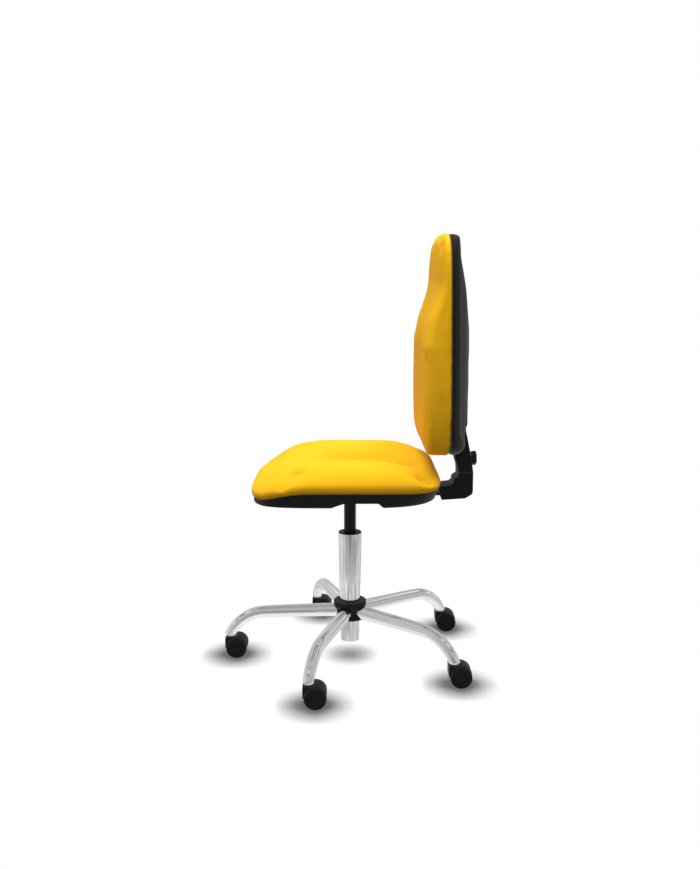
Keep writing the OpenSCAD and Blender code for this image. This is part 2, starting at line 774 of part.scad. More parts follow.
module tilt_lock_lever() {
    dog_y = pivot_y - barrel_d / 2 - 2 * gap;
    color("#1c1c1c") lever_body(lock_y) {
        box([-lever_x, lock_y - finger_w / 2, lever_z],
            [arm_t - lever_x, lock_y + finger_w / 2, pivot_z + finger_t]);
        box([-lever_x, lock_y - finger_w / 2, pivot_z - finger_t],
            [2 * arm_t - lever_x, lock_y + finger_w / 2, pivot_z + finger_t]);
        box([arm_t + 2 * gap - lever_x, lock_y, pivot_z - finger_t],
            [2 * arm_t - lever_x, dog_y, pivot_z + finger_t]);
    }
}

module mechanism_bolts() {
    color("dimgray") at_flange_bolts() {
        translate([0, 0, board_z - flange_t - bolt_head_h - fit])
            cylinder(h = bolt_head_h, d = bolt_head_d, $fn = 6);
        translate([0, 0, board_z - flange_t - bolt_head_h / 2])
            cylinder(h = seat_board + flange_t, d = bolt_d, $fn = 48);
    }
}

// Flanged nut pressed into the board from above
module board_nut(bore) {
    difference() {
        union() {
            translate([0, 0, board_z + gap])
                cylinder(h = seat_board - board_nut_flange_t, d = bore + 2 * board_nut_wall, $fn = 48);
            translate([0, 0, board_top_z - board_nut_flange_t])
                cylinder(h = board_nut_flange_t, d = board_nut_flange_d, $fn = 48);
        }
        translate([0, 0, board_z]) cylinder(h = seat_board + cut, d = bore, $fn = 48);
    }
}

module seat_board_nuts() {
    color("silver") {
        at_flange_bolts() board_nut(bolt_d + 2 * fit);
        at_arm_bolts() board_nut(arm_bore_d);
    }
}

// Seat: outline at share p and turn t, in plan
function seat_outline(p, t, n) = let (o = oval(t, n))
    [seat_half_w * p * o[0], seat_mid_y + seat_half_l * p * o[1]];
function seat_point(p, t) = seat_outline(p, t, sin(t) < 0 ? seat_front_corner : seat_rear_corner);
function seam_z(y) = seat_seam_z - seat_seam_drop * pow(smooth(-seat_drop_y, -seat_front, y), 3);
function seat_dome(t) = mix(seat_side_dome, sin(t) < 0 ? seat_front_dome : seat_rear_dome, pow(sin(t), 2));
function seat_relief(x, y) = -seat_hollow * bell(x, seat_hollow_w)
        * smooth(-seat_half_l / 2, 0, y) * (1 - smooth(seat_half_l / 2, seat_rear, y))
    - seat_dimple * bell(norm([abs(x) - seat_dimple_x, y - seat_dimple_y]), seat_dimple_w);
function seat_top(p, t) = let (
        o = seat_point(p, t),
        edge_z = seam_z(seat_point(1, t)[1]) + seat_bulge_h
    ) [o[0], o[1], edge_z + (seat_crest_z - edge_z) * dome(p, seat_dome(t)) + seat_relief(o[0], o[1])];
function seat_ring(p, rise) = [for (j = [0:seat_sides - 1]) let (o = seat_point(p, 360 * j / seat_sides))
    [o[0], o[1], seam_z(o[1]) + rise]];
function seat_level(p, z) = [for (j = [0:seat_sides - 1]) let (o = seat_point(p, 360 * j / seat_sides))
    [o[0], o[1], z]];

module seat_cushion() {
    rest_z = board_top_z + gap;
    color("gold") ringed(concat(
            [seat_level(seat_flat_share, rest_z), seat_ring(seat_seam_share, gap),
                seat_ring(mix(seat_seam_share, 1, 0.7), seat_bulge_h * 0.4)],
            [for (p = seat_ring_shares) [for (j = [0:seat_sides - 1]) seat_top(p, 360 * j / seat_sides)]]),
        [0, seat_mid_y, rest_z], seat_top(0, 90));
}

module seat_board() {
    steps = 48;
    color("burlywood") difference() {
        union() {
            translate([0, 0, board_z]) linear_extrude(seat_board)
                polygon([for (j = [0:steps - 1]) seat_point(seat_board_share, 360 * (j + 0.5) / steps)]);
            at_shell_screws() translate([0, 0, seat_shell_z + shell_wall + fit])
                cylinder(h = seat_board, d = post_d, $fn = 32);
        }
        at_flange_bolts() board_nut_hole(bolt_d + 2 * fit + 2 * board_nut_wall);
        at_arm_bolts() board_nut_hole(arm_bore_d + 2 * board_nut_wall);
        at_shell_screws() translate([0, 0, seat_shell_z])
            cylinder(h = seat_board, d = screw_d + 2 * fit, $fn = 32);
    }
}

module board_nut_hole(d) {
    translate([0, 0, board_z - cut]) cylinder(h = seat_board + 2 * cut, d = d + 2 * fit, $fn = 48);
    translate([0, 0, board_top_z - board_nut_flange_t - fit])
        cylinder(h = board_nut_flange_t + cut, d = board_nut_flange_d + 2 * fit, $fn = 48);
}

// Seat shell: its outline's corners round off as its wall falls
function shell_point(k, inset, t) = let (fall = shell_fall_shares[k]) seat_outline(
    shell_wall_shares[k] - inset / seat_half_w, t,
    sin(t) < 0 ? mix(seat_front_corner, shell_front_corner, fall)
        : mix(seat_rear_corner, shell_rear_corner, fall));
// Rings from the opening's edge out over the underside, up the wall and back inside
function shell_fall(k, inset, lift) = [for (j = [0:seat_sides - 1]) let (
        t = 360 * j / seat_sides,
        o = shell_point(k, inset, t),
        top = seam_z(shell_point(k, 0, t)[1]) - gap
    ) [o[0], o[1], mix(top, seat_shell_z, shell_fall_shares[k]) + lift]];
function shell_opening(z) = [for (j = [0:seat_sides - 1]) let (
        o = oval(360 * j / seat_sides, seat_open_corner)
    ) [seat_open_w / 2 * o[0], seat_open_y + seat_open_l / 2 * o[1], z]];

module seat_shell() {
    recess_front = seat_recess_y - seat_recess_len / 2;
    recess_rear = seat_recess_y + seat_recess_len / 2;
    recess_z = seat_shell_z + seat_recess;
    slope = seat_recess_slope;
    color("#262626") difference() {
        union() {
            difference() {
                looped(concat([shell_opening(seat_shell_z)],
                    [for (k = [3:-1:0]) shell_fall(k, 0, 0)],
                    [for (k = [0:3]) shell_fall(k, shell_wall, shell_wall_lifts[k])],
                    [shell_opening(seat_shell_z + shell_wall)]));
                slab(seat_w) polygon([[recess_front, seat_shell_z - cut], [recess_front + slope, recess_z],
                    [recess_rear - slope, recess_z], [recess_rear, seat_shell_z - cut]]);
            }
            for (s = [-1, 1]) intersection() {
                ringed([shell_fall(3, 0, 0), shell_fall(2, 0, 0), shell_fall(1, 0, 0)],
                    [0, seat_mid_y, seat_shell_z], [0, seat_mid_y, seat_seam_z]);
                translate([s * (seat_half_w + seat_open_w / 2 + shell_wall) / 2, 0, 0])
                    slab(seat_half_w - seat_open_w / 2 - shell_wall) polygon([
                        [recess_front, seat_shell_z], [recess_front + slope, recess_z],
                        [recess_rear - slope, recess_z], [recess_rear, seat_shell_z],
                        [recess_rear + shell_wall, seat_shell_z],
                        [recess_rear + shell_wall, seat_shell_z + shell_wall],
                        [recess_rear - slope + shell_wall, recess_z + shell_wall - fit],
                        [recess_front + slope - shell_wall, recess_z + shell_wall - fit],
                        [recess_front - shell_wall, seat_shell_z + shell_wall],
                        [recess_front - shell_wall, seat_shell_z]]);
            }
        }
        at_arm_bolts() translate([0, 0, seat_shell_z])
            cylinder(h = seat_board + seat_recess, d = post_d, $fn = 32);
        at_shell_screws() translate([0, 0, seat_shell_z - cut])
            cylinder(h = shell_wall + 2 * cut, d = screw_d + 2 * fit, $fn = 32);
    }
}

module shell_screws() {
    color("dimgray") at_shell_screws() {
        translate([0, 0, seat_shell_z - screw_head_h - fit])
            cylinder(h = screw_head_h, d = screw_head_d, $fn = 32);
        translate([0, 0, seat_shell_z - screw_head_h]) cylinder(h = seat_board, d = screw_d, $fn = 32);
    }
}

// Back arm: side outline of the L-bar, grown by a clearance c
function bend_arc(r, from, to) = [for (k = [0:bend_steps]) let (a = mix(from, to, k / bend_steps))
    [bar_bend_y + r * cos(a), bar_bend_z + r * sin(a)]];
function bar_outline(c, front, top) = concat(
    [[front, bar_z - c]], bend_arc(bar_bend + bar_t + c, -90, 0),
    [[bar_y + bar_t + c, top], [bar_y - c, top]], bend_arc(bar_bend - c, 0, -90),
    [[front, bar_z + bar_t + c]]);

module back_arm_bar() {
    color("#202020") difference() {
        union() {
            slab(bar_w) polygon(bar_outline(0, pivot_y, bar_top_z));
            bar_x(-barrel_w / 2, barrel_w / 2, barrel_d, pivot_y, pivot_z);
        }
        bar_x(-barrel_w, barrel_w, pivot_d + 2 * fit, pivot_y, pivot_z);
    }
}

module back_arm_cover() {
    rear = cover_rear_y;
    low = cover_bottom_z;
    r = cover_round;
    color("#1c1c1c") difference() {
        slab(cover_w) polygon(concat(
            [[cover_tip_y + cover_edge * 2, low], [rear - r - cover_edge, low + cover_edge]],
            [for (k = [1:bend_steps]) let (a = mix(-75, 0, k / bend_steps))
                [rear - r + r * cos(a), low + cover_edge + r + r * sin(a)]],
            [[rear, cover_joint_z], [cover_front_y, cover_joint_z],
                [cover_front_y, cover_joint_z - 2 * cover_edge],
                [cover_front_y - cover_edge, cover_joint_z - 2.6 * cover_edge],
                [cover_front_y - 2 * cover_edge, cover_joint_z - 3.6 * cover_edge],
                [cover_front_y - 2.2 * cover_edge, cover_top_z + 2 * cover_edge],
                [cover_front_y - 4 * cover_edge, cover_top_z + cover_edge / 2],
                [cover_tip_y, cover_top_z], [cover_tip_y + cover_edge / 2, cover_top_z - 2 * cover_edge]]));
        slab(bar_w + 2 * gap) polygon(bar_outline(gap, cover_tip_y - cut, cover_joint_z + cut));
    }
}

module back_carriage() {
    joint = cover_joint_z + gap;
    color("#1c1c1c") difference() {
        union() {
            slab(cover_w) polygon([[cover_front_y, joint],
                [cover_front_y - cover_edge / 4, knob_z - knob_d / 2],
                [carriage_front_y, knob_z + cover_edge],
                [carriage_front_y, slot_top_z - cover_edge],
                [carriage_neck_y - carriage_taper, slot_top_z - cover_edge],
                [carriage_neck_y, slot_top_z - knob_d],
                [cover_rear_y - cover_edge, knob_z + cover_edge],
                [cover_rear_y, joint]]);
            box([-cover_half_w, board_y + gap, back_bottom_z + 2 * cover_edge],
                [cover_half_w, carriage_rear_y, carriage_top_z]);
            box([-carriage_flange_w / 2, board_y + fit, slot_top_z],
                [carriage_flange_w / 2, board_y + carriage_flange_t, carriage_top_z]);
        }
        box([-bar_w / 2 - gap, bar_y - gap, cover_joint_z],
            [bar_w / 2 + gap, bar_y + bar_t + gap, carriage_top_z + cut]);
        bar_y_dir(bar_y, cover_rear_y + cut, stud_d + 2 * fit, 0, knob_z);
        bar_y_dir(knob_y, cover_rear_y + cut, knob_d + 4 * gap, 0, knob_z);
        at_carriage_bolts() bar_y_dir(back_seam_y, bar_y, carriage_bolt_d + 2 * gap, 0, 0);
    }
}

module at_carriage_bolts() {
    for (s = [-1, 1], z = [carriage_bolt_low, carriage_bolt_high])
        translate([s * carriage_bolt_x / 2, 0, z]) children();
}

module carriage_bolts() {
    head_y = board_y + carriage_flange_t + fit;
    color("dimgray") at_carriage_bolts() {
        bar_y_dir(back_seam_y + 2 * gap, head_y + cut, carriage_bolt_d, 0, 0);
        bar_y_dir(head_y, head_y + carriage_bolt_d / 2, 2 * carriage_bolt_d, 0, 0);
    }
}

module back_height_knob() {
    start = knob_y + gap;
    color("#141414") translate([0, 0, knob_z]) rotate([-90, 0, 0]) {
        difference() {
            union() {
                translate([0, 0, start])
                    cylinder(h = knob_len - knob_dome, d1 = knob_d - knob_dome, d2 = knob_d, $fn = 64);
                translate([0, 0, start + knob_len - knob_dome])
                    cylinder(h = knob_dome, d1 = knob_d, d2 = knob_d - 4 * knob_dome, $fn = 64);
            }
            for (k = [0:knob_lobes - 1]) rotate([0, 0, 360 / knob_lobes * (k + 0.5)])
                translate([knob_d / 2 + lobe_d / 4, 0, start - cut])
                    cylinder(h = 2 * knob_len, d = lobe_d, $fn = 32);
        }
        translate([0, 0, bar_y + bar_t + gap])
            cylinder(h = start + knob_dome - bar_y - bar_t, d = stud_d, $fn = 48);
    }
}

// Back: outline at share p and turn t in front view, x and height
function back_point(p, t) = let (
        o = oval(t, sin(t) < 0 ? back_low_corner : back_high_corner),
        narrowing = back_taper_share * smooth(back_taper_start_share, 1, o[1])
    ) [back_half_w * p * o[0] * (1 - narrowing), back_mid_z + back_half_h * p * o[1]];
function shoulder(z) = smooth(shoulder_z, shoulder_z + shoulder_h, z);
function back_thick(z) = mix(back_pad, back_pad_top, shoulder(z));
function back_front(p, t) = let (
        o = back_point(p, t),
        thick = back_thick(o[1]),
        m = mix(back_low_dome, back_high_dome, shoulder(o[1])),
        side = thick * back_side_share
    ) [o[0], side + (thick - side) * dome(p, m) - back_hollow * bell(o[0], back_hollow_w)
        * (1 - shoulder(o[1])) * smooth(back_bottom_z, back_bottom_z + back_pad, o[1]), o[1]];
// World point at depth d in front of the seam plane
function back_world(v) = [v[0], back_seam_y - v[1], v[2]];
function back_flat(p, d) = [for (j = [0:back_sides - 1]) let (o = back_point(p, -360 * j / back_sides))
    back_world([o[0], d, o[1]])];

module back_cushion() {
    color("gold") ringed(concat(
            [back_flat(back_board_share, gap), back_flat(back_seam_share, gap),
                [for (j = [0:back_sides - 1]) let (
                    o = back_point(mix(back_seam_share, 1, 0.7), -360 * j / back_sides))
                    back_world([o[0], back_thick(o[1]) * back_side_share / 2, o[1]])]],
            [for (p = back_ring_shares) [for (j = [0:back_sides - 1])
                back_world(back_front(p, -360 * j / back_sides))]]),
        back_world([0, gap, back_mid_z]), back_world(back_front(0, 90)));
}

module back_board() {
    steps = 48;
    color("burlywood") difference() {
        translate([0, board_y, 0]) rotate([90, 0, 0]) linear_extrude(back_board)
            polygon([for (j = [0:steps - 1]) back_point(back_board_share, 360 * (j + 0.5) / steps)]);
        at_carriage_bolts() bar_y_dir(back_seam_y - cut, board_y + cut, carriage_bolt_d + 2 * fit, 0, 0);
    }
}

function rear_share(k, t) = let (e = pow(abs(sin(t)), 3))
    mix(rear_side_shares[k], sin(t) > 0 ? rear_top_shares[k] : rear_bottom_shares[k], e);
function rear_ring(k, inset) = [for (j = [0:back_sides - 1]) let (
        t = 360 * j / back_sides,
        o = back_point(rear_ring_shares[k] - inset / back_half_w, t))
    back_world([o[0], -gap - max(0, back_shell_d * rear_share(k, t) - inset), o[1]])];

// Raised spine of the shell over the carriage
module shell_spine() {
    front = board_y + carriage_flange_t + gap;
    rear = carriage_rear_y + 2 * gap + shell_wall;
    low = slot_top_z - spine_drop;
    high = carriage_top_z + 2 * gap + shell_wall;
    slab(2 * (cover_half_w + gap + shell_wall)) polygon([[front, low], [rear - spine_edge, low],
        [rear, low + 2 * spine_edge], [rear, high - spine_edge], [rear - spine_edge, high], [front, high]]);
}

module back_shell() {
    count = len(rear_ring_shares);
    half = cover_half_w + gap;
    color("#242424") difference() {
        union() {
            ringed(concat([for (k = [count - 1:-1:0]) rear_ring(k, 0)],
                    [for (k = [0:count - 1]) rear_ring(k, shell_wall)]),
                back_world([0, -gap - back_shell_d, back_mid_z]),
                back_world([0, shell_wall - gap - back_shell_d, back_mid_z]));
            shell_spine();
        }
        box([-half, board_y - back_board / 2, back_bottom_z - back_pad],
            [half, back_seam_y + 2 * back_shell_d, slot_top_z]);
        box([-half, board_y - back_board / 2, back_bottom_z],
            [half, carriage_rear_y + 2 * gap, carriage_top_z + 2 * gap]);
    }
}

leg(0);  // leg_1
leg(1);  // leg_2
leg(2);  // leg_3
leg(3);  // leg_4
leg(4);  // leg_5
hub_core();
hub_cover();
castor_hood(0);  // castor_hood_1
castor_hood(1);  // castor_hood_2
castor_hood(2);  // castor_hood_3
castor_hood(3);  // castor_hood_4
castor_hood(4);  // castor_hood_5
castor_stem(0);  // castor_stem_1
castor_stem(1);  // castor_stem_2
castor_stem(2);  // castor_stem_3
castor_stem(3);  // castor_stem_4
castor_stem(4);  // castor_stem_5
castor_axle(0);  // castor_axle_1
castor_axle(1);  // castor_axle_2
castor_axle(2);  // castor_axle_3
castor_axle(3);  // castor_axle_4
castor_axle(4);  // castor_axle_5
castor_wheel(0, 1);  // wheel_left_1
castor_wheel(1, 1);  // wheel_left_2
castor_wheel(2, 1);  // wheel_left_3
castor_wheel(3, 1);  // wheel_left_4
castor_wheel(4, 1);  // wheel_left_5
castor_wheel(0, -1);  // wheel_right_1
castor_wheel(1, -1);  // wheel_right_2
castor_wheel(2, -1);  // wheel_right_3
castor_wheel(3, -1);  // wheel_right_4
castor_wheel(4, -1);  // wheel_right_5
column_tube();
column_bush();
piston_rod();
rod_clip();
thrust_bearing();
gas_cylinder();
valve_pin();
mechanism_housing();
tilt_pivot_pin();
tilt_spring();
lever_pins();
height_lever();
tilt_lock_lever();
mechanism_bolts();
seat_board_nuts();
seat_board();
seat_shell();
shell_screws();
seat_cushion();
back_arm_bar();
back_arm_cover();
back_carriage();
carriage_bolts();
back_height_knob();
back_board();
back_shell();
back_cushion();
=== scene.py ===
"""The looks of a task chair with a five-leg chrome base, yellow seat and back. Metres, +Z up, front to -Y."""

import contextlib
import json
from math import copysign, cos, exp, hypot, pi, radians, sin, tan

import bmesh
import bpy
import numpy as np
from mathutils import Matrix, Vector

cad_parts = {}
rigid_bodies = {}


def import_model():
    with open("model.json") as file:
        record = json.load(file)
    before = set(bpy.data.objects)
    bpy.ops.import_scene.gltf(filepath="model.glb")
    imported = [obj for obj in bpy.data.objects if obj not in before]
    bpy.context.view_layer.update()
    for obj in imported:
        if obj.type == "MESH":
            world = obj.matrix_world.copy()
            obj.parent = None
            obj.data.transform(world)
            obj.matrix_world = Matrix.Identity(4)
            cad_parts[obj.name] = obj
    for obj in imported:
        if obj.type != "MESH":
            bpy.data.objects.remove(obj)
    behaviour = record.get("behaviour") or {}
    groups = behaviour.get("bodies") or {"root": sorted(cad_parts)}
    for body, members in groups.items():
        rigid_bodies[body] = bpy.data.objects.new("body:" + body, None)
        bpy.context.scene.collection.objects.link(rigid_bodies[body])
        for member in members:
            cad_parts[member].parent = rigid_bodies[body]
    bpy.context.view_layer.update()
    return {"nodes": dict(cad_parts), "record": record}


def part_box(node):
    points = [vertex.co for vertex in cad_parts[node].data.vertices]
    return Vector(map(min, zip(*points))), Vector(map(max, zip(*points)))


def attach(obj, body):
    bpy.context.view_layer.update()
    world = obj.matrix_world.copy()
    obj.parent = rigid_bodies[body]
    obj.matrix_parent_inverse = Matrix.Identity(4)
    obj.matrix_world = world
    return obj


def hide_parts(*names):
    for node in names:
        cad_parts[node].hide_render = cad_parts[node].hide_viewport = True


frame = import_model()

# Clearances, and how near two points are to be one
GAP = 0.0003
FIT = 0.00005
SAME_POINT = 1e-6
CUTTER_PAST = 0.002

# Base
LEG_COUNT = 5
LEG_TURN = 2 * pi / LEG_COUNT
LEG_FIRST = -pi / 2
LEG_ROOT_R = 0.0295
LEG_REACH = 0.299
LEG_ROOT_Z = 0.117
LEG_END_Z = 0.0521
LEG_ROOT_D = 0.033
LEG_TIP_D = 0.0238
# Each station of a leg tube: reach, height and radius between its two ends
LEG_REACH_SHARES = [0, 0.377, 0.614, 0.729, 0.818, 0.892, 0.959, 1.0, 1.03]
LEG_HEIGHT_SHARES = [1, 0.961, 0.93, 0.89, 0.757, 0.553, 0.264, 0, -0.16]
LEG_RADIUS_SHARES = [1, 0.754, 0.6, 0.525, 0.44, 0.37, 0.22, 0.04, 0]
CASTOR_R = 0.2954
CASTOR_TRAIL = 0.0154
LEG_END_ROUND = 0.0009
COLLAR_R = 0.0122
COLLAR_BORE_R = 0.0046
COLLAR_H = 0.0040

# Hub and column
HUB_CORE_R = 0.034
HUB_R = 0.040
HUB_FOOT_R = 0.037
HUB_BOTTOM = 0.098
HUB_TOP = 0.143
HUB_COLLAR_H = 0.012
HUB_FOOT_H = 0.006
COLUMN_BOTTOM = 0.041
COLUMN_TOP = 0.3145
COLUMN_BOTTOM_R = 0.0226
COLUMN_TOP_R = 0.0287
COLUMN_WALL = 0.002
COLUMN_FLOOR_TOP = 0.046
CLIP_BORE_R = 0.00505
BUSH_BORE_R = 0.014575
BUSH_DEPTH = 0.075
BUSH_LIP_H = 0.0015
GAS_R = 0.0145
GAS_BORE_R = 0.0125
GAS_CONE_Z = 0.386
GAS_CONE_FALL = 0.0012
GAS_PIN_R = 0.00305
GAS_HEAD = 0.014
GAS_FOOT = 0.010

# Castors
WHEEL_R = 0.025
WHEEL_IN = 0.007
WHEEL_W = 0.019
WHEEL_CAP = 0.004
WHEEL_BORE_R = 0.00305
WHEEL_BOSS_R = 0.0075
WHEEL_RIM = 0.005
WHEEL_DISH = 0.0012
WHEEL_LIP = 0.0026
WHEEL_GROOVE = 0.0009
HOOD_HALF_W = 0.0225
HOOD_TOP = 0.0514
HOOD_R = 0.0264
HOOD_FRONT = 0.0125
HOOD_FOOT = 0.024
WEB_HALF_W = 0.0065
WEB_R = 0.006
POCKET_R = 0.0252
STEM_BORE_R = 0.00455
STEM_BORE_Z = 0.0297

# Cloth pass: the part held at the seams, how far the rest may swell, and its mesh
HELD_H = 0.004
SEAT_SWELL = 0.0035
BACK_SWELL = 0.003
CLOTH_VOXEL = 0.0045
CLOTH_FRAMES = 20
CLOTH_SMOOTHING = 14

# Seat
SEAT_HALF_W = 0.228
SEAT_FRONT = 0.2340
SEAT_REAR = 0.2105
SEAT_MID_Y = (SEAT_REAR - SEAT_FRONT) / 2
SEAT_HALF_L = (SEAT_REAR + SEAT_FRONT) / 2
SEAT_CREST = 0.5150
SEAT_SEAM = 0.459
SEAT_SEAM_DROP = 0.028
SEAT_DROP_Y = 0.022
SEAT_HOLLOW = 0.027
SEAT_HOLLOW_W = 0.078
SEAT_DIMPLE = 0.013
SEAT_DIMPLE_AT = (0.194, 0.160)
SEAT_DIMPLE_W = (0.017, 0.030)
SEAT_FOLD = 0.004
SEAT_FOLD_AT = (0.196, -0.130)
SEAT_FOLD_W = (0.018, 0.075)
SEAT_FRONT_CORNER = 3.8
SEAT_REAR_CORNER = 6.4
SEAT_BULGE = 0.015
SEAT_SEAM_SHARE = 0.955
SEAT_FLAT_SHARE = 0.8
SEAT_REST_Z = 0.4483
SEAT_SIDE_FALL = 5.5
SEAT_SIDE_LEAN = 0.66
SEAT_FRONT_DOME = 1.52
SEAT_REAR_DOME = 1.55
SEAT_RING_POWER = 0.9
SEAT_BULGE_POWER = 0.8
SEAT_BOARD_HALF = 0.78 * SEAT_HALF_W
SHELL_Z = 0.4228
SHELL_WALL = 0.003
SHELL_WALL_SHARES = [0.955, 0.951, 0.947, 0.858]
SHELL_FALL_SHARES = [0, 0.5, 0.82, 1]
SHELL_FRONT_CORNER = 4.6
SHELL_REAR_CORNER = 3.2
SHELL_OPEN = (0.112, 0.131)
SHELL_OPEN_Y = 0.035
SHELL_OPEN_CORNER = 6.4
RECESS_H = 0.0102
RECESS_SIDE_H = 0.0055
RECESS_HALF = 0.0585
RECESS_SLOPE = 0.0125
RECESS_Y = 0.018
RECESS_SIDE_SLOPE = 0.018
POST_AT = (0.160, 0.030)
POST_HOLE_R = 0.006
SCREW_YS = (-0.120, 0.110)
SCREW_HOLE_R = 0.00205

# Back
BACK_BOTTOM = 0.528
BACK_TOP = 1.0268
BACK_MID = (BACK_TOP + BACK_BOTTOM) / 2
BACK_HALF_H = (BACK_TOP - BACK_BOTTOM) / 2
BACK_HALF_W = 0.215
BACK_SEAM_Y = 0.2205
BACK_PAD = 0.0568
BACK_PAD_TOP = 0.0276
SHOULDER_Z = 0.775
SHOULDER_H = 0.150
BACK_HOLLOW = 0.007
BACK_HOLLOW_W = 0.080
BACK_LOW_CORNER = 7
BACK_HIGH_CORNER = 5
BACK_TAPER = 0.18
BACK_TAPER_START = -0.6
BACK_SEAM_SHARE = 0.986
BACK_BOARD_SHARE = 0.9
BACK_SIDE_SHARE = 0.3
BACK_LOW_DOME = 8.5
BACK_HIGH_DOME = 3.0
BACK_SHELL_D = 0.056
REAR_RING_SHARES = [0.974, 0.986, 0.966, 0.91, 0.83, 0.62, 0.38, 0.16]
REAR_SIDE_SHARES = [0, 0.078, 0.167, 0.33, 0.37, 0.676, 0.843, 0.995]
REAR_TOP_SHARES = [0, 0.146, 0.397, 0.418, 0.455, 0.635, 0.849, 0.995]
REAR_BOTTOM_SHARES = [0, 0.156, 0.536, 0.734, 0.74, 0.848, 0.96, 0.995]
SLOT_FRONT = 0.0045
SLOT_TOP = 0.604
SPINE_FRONT = 0.0153
SPINE_BELOW = 0.032
SPINE_SLOPE = 0.006

# Back arm
BAR_Z = 0.412
BAR_Y = 0.264
BAR_T = 0.007
BAR_HALF_W = 0.025
BAR_BEND = 0.008
COVER_HALF_W = 0.032
COVER_JOINT = 0.468
COVER_REAR = 0.2935
COVER_FRONT = 0.2575
COVER_TIP = 0.210
COVER_BOTTOM = 0.403
COVER_TOP = 0.434
LUMP_Y = 0.2465
LUMP_Z = 0.450
CARRIAGE_FRONT = 0.2495
CARRIAGE_REAR = 0.2728
CARRIAGE_TOP = 0.690
BLOCK_FRONT = 0.2295
BLOCK_BOTTOM = BACK_BOTTOM + 0.010
FLANGE_HALF_W = 0.065
FLANGE_FRONT = 0.2293
FLANGE_REAR = 0.2352
BACK_BOLT_X = 0.052
BACK_BOLT_ZS = (0.620, 0.672)
BACK_BOLT_R = 0.0033
KNOB_Z = 0.4985
KNOB_R = 0.0175
KNOB_START = 0.2903
KNOB_END = 0.3033
KNOB_FOOT_R = 0.0165
KNOB_FACE_R = 0.0145
KNOB_LOBES = 6
KNOB_LOBE_D = 0.0019
STUD_R = 0.004


def smooth(a, b, v):
    u = min(1, max(0, (v - a) / (b - a)))
    return u * u * (3 - 2 * u)


def mix(a, b, u):
    return a + (b - a) * u


def bell(d, w):
    return exp(-((d / w) ** 2))


def by_end(t, front, rear):
    """One value for the front or lower half of a turn, another for the rear or upper half."""
    return front if sin(t) < 0 else rear


def oval(t, n):
    """Unit superellipse at angle t."""
    c, s = cos(t), sin(t)
    return copysign(abs(c) ** (2 / n), c), copysign(abs(s) ** (2 / n), s)


def dome(p, m):
    """Height share of a dome at distance share p from its middle."""
    return max(0, 1 - min(p, 1) ** m) ** (1 / m)


def spline(values, place):
    """Catmull-Rom blend of a list at a fractional place."""
    i = min(int(place), len(values) - 2)
    u = place - i
    a, b = values[max(0, i - 1)], values[i]
    c, d = values[i + 1], values[min(len(values) - 1, i + 2)]
    return 0.5 * (2 * b + (c - a) * u + (2 * a - 5 * b + 4 * c - d) * u * u
                  + (3 * b - a - 3 * c + d) * u ** 3)


def column_r(z):
    return mix(COLUMN_BOTTOM_R, COLUMN_TOP_R, (z - COLUMN_BOTTOM) / (COLUMN_TOP - COLUMN_BOTTOM))


def turns(count):
    return [2 * pi * j / count for j in range(count)]


# Mesh building

def new_object(name, points, faces):
    mesh = bpy.data.meshes.new(name)
    mesh.from_pydata([tuple(p) for p in points], [], faces)
    obj = bpy.data.objects.new(name, mesh)
    bpy.context.collection.objects.link(obj)
    tidy_faces(obj)
    return obj


@contextlib.contextmanager
def editing(obj):
    """The object's mesh, open for edits that are written back at the end."""
    bm = bmesh.new()
    bm.from_mesh(obj.data)
    yield bm
    bm.to_mesh(obj.data)
    bm.free()


def tidy_faces(obj, sharp=radians(38)):
    """Closes doubled points, turns faces outwards, and shades smooth up to the sharp angle."""
    with editing(obj) as bm:
        bmesh.ops.remove_doubles(bm, verts=bm.verts, dist=SAME_POINT)
        bmesh.ops.recalc_face_normals(bm, faces=bm.faces)
        for face in bm.faces:
            face.smooth = True
        for edge in bm.edges:
            edge.smooth = len(edge.link_faces) == 2 and edge.calc_face_angle(0) < sharp


def ringed(name, rings, first, last):
    """Solid through rings of points, closed by a fan to a point at each end."""
    n = len(rings[0])
    points = [p for ring in rings for p in ring]
    faces = []
    for i in range(len(rings) - 1):
        a, b = i * n, (i + 1) * n
        faces += [(a + j, b + j, b + (j + 1) % n, a + (j + 1) % n) for j in range(n)]
    for start, tip in ((0, first), ((len(rings) - 1) * n, last)):
        points.append(tip)
        faces += [(start + j, start + (j + 1) % n, len(points) - 1) for j in range(n)]
    return new_object(name, points, faces)


def looped(name, rings):
    """Solid through rings whose last ring joins the first."""
    n, k = len(rings[0]), len(rings)
    faces = [(i * n + j, (i + 1) % k * n + j, (i + 1) % k * n + (j + 1) % n, i * n + (j + 1) % n)
             for i in range(k) for j in range(n)]
    return new_object(name, [p for ring in rings for p in ring], faces)


def revolve(name, profile, count=128, place=lambda x, y, h: (x, y, h)):
    """Closed (radius, height) outline turned about an axis. place maps (x, y, height) to the world."""
    rings = [[place(r * cos(t), r * sin(t), h) for t in turns(count)] for r, h in profile]
    return looped(name, rings)


def rounded(points, radius, steps=5):
    """Outline with each corner replaced by an arc; a corner may give its own radius as a third value."""
    out = []
    count = len(points)
    for i, point in enumerate(points):
        here = Vector(point[:2])
        to_last = Vector(points[i - 1][:2]) - here
        to_next = Vector(points[(i + 1) % count][:2]) - here
        half = to_last.angle(to_next) / 2
        r = point[2] if len(point) > 2 else radius
        reach = min(r / max(tan(half), 1e-6), 0.48 * to_last.length, 0.48 * to_next.length)
        start, end = here + to_last.normalized() * reach, here + to_next.normalized() * reach
        for k in range(steps + 1):
            u = k / steps
            out.append(tuple(start * (1 - u) ** 2 + here * 2 * u * (1 - u) + end * u * u))
    return out


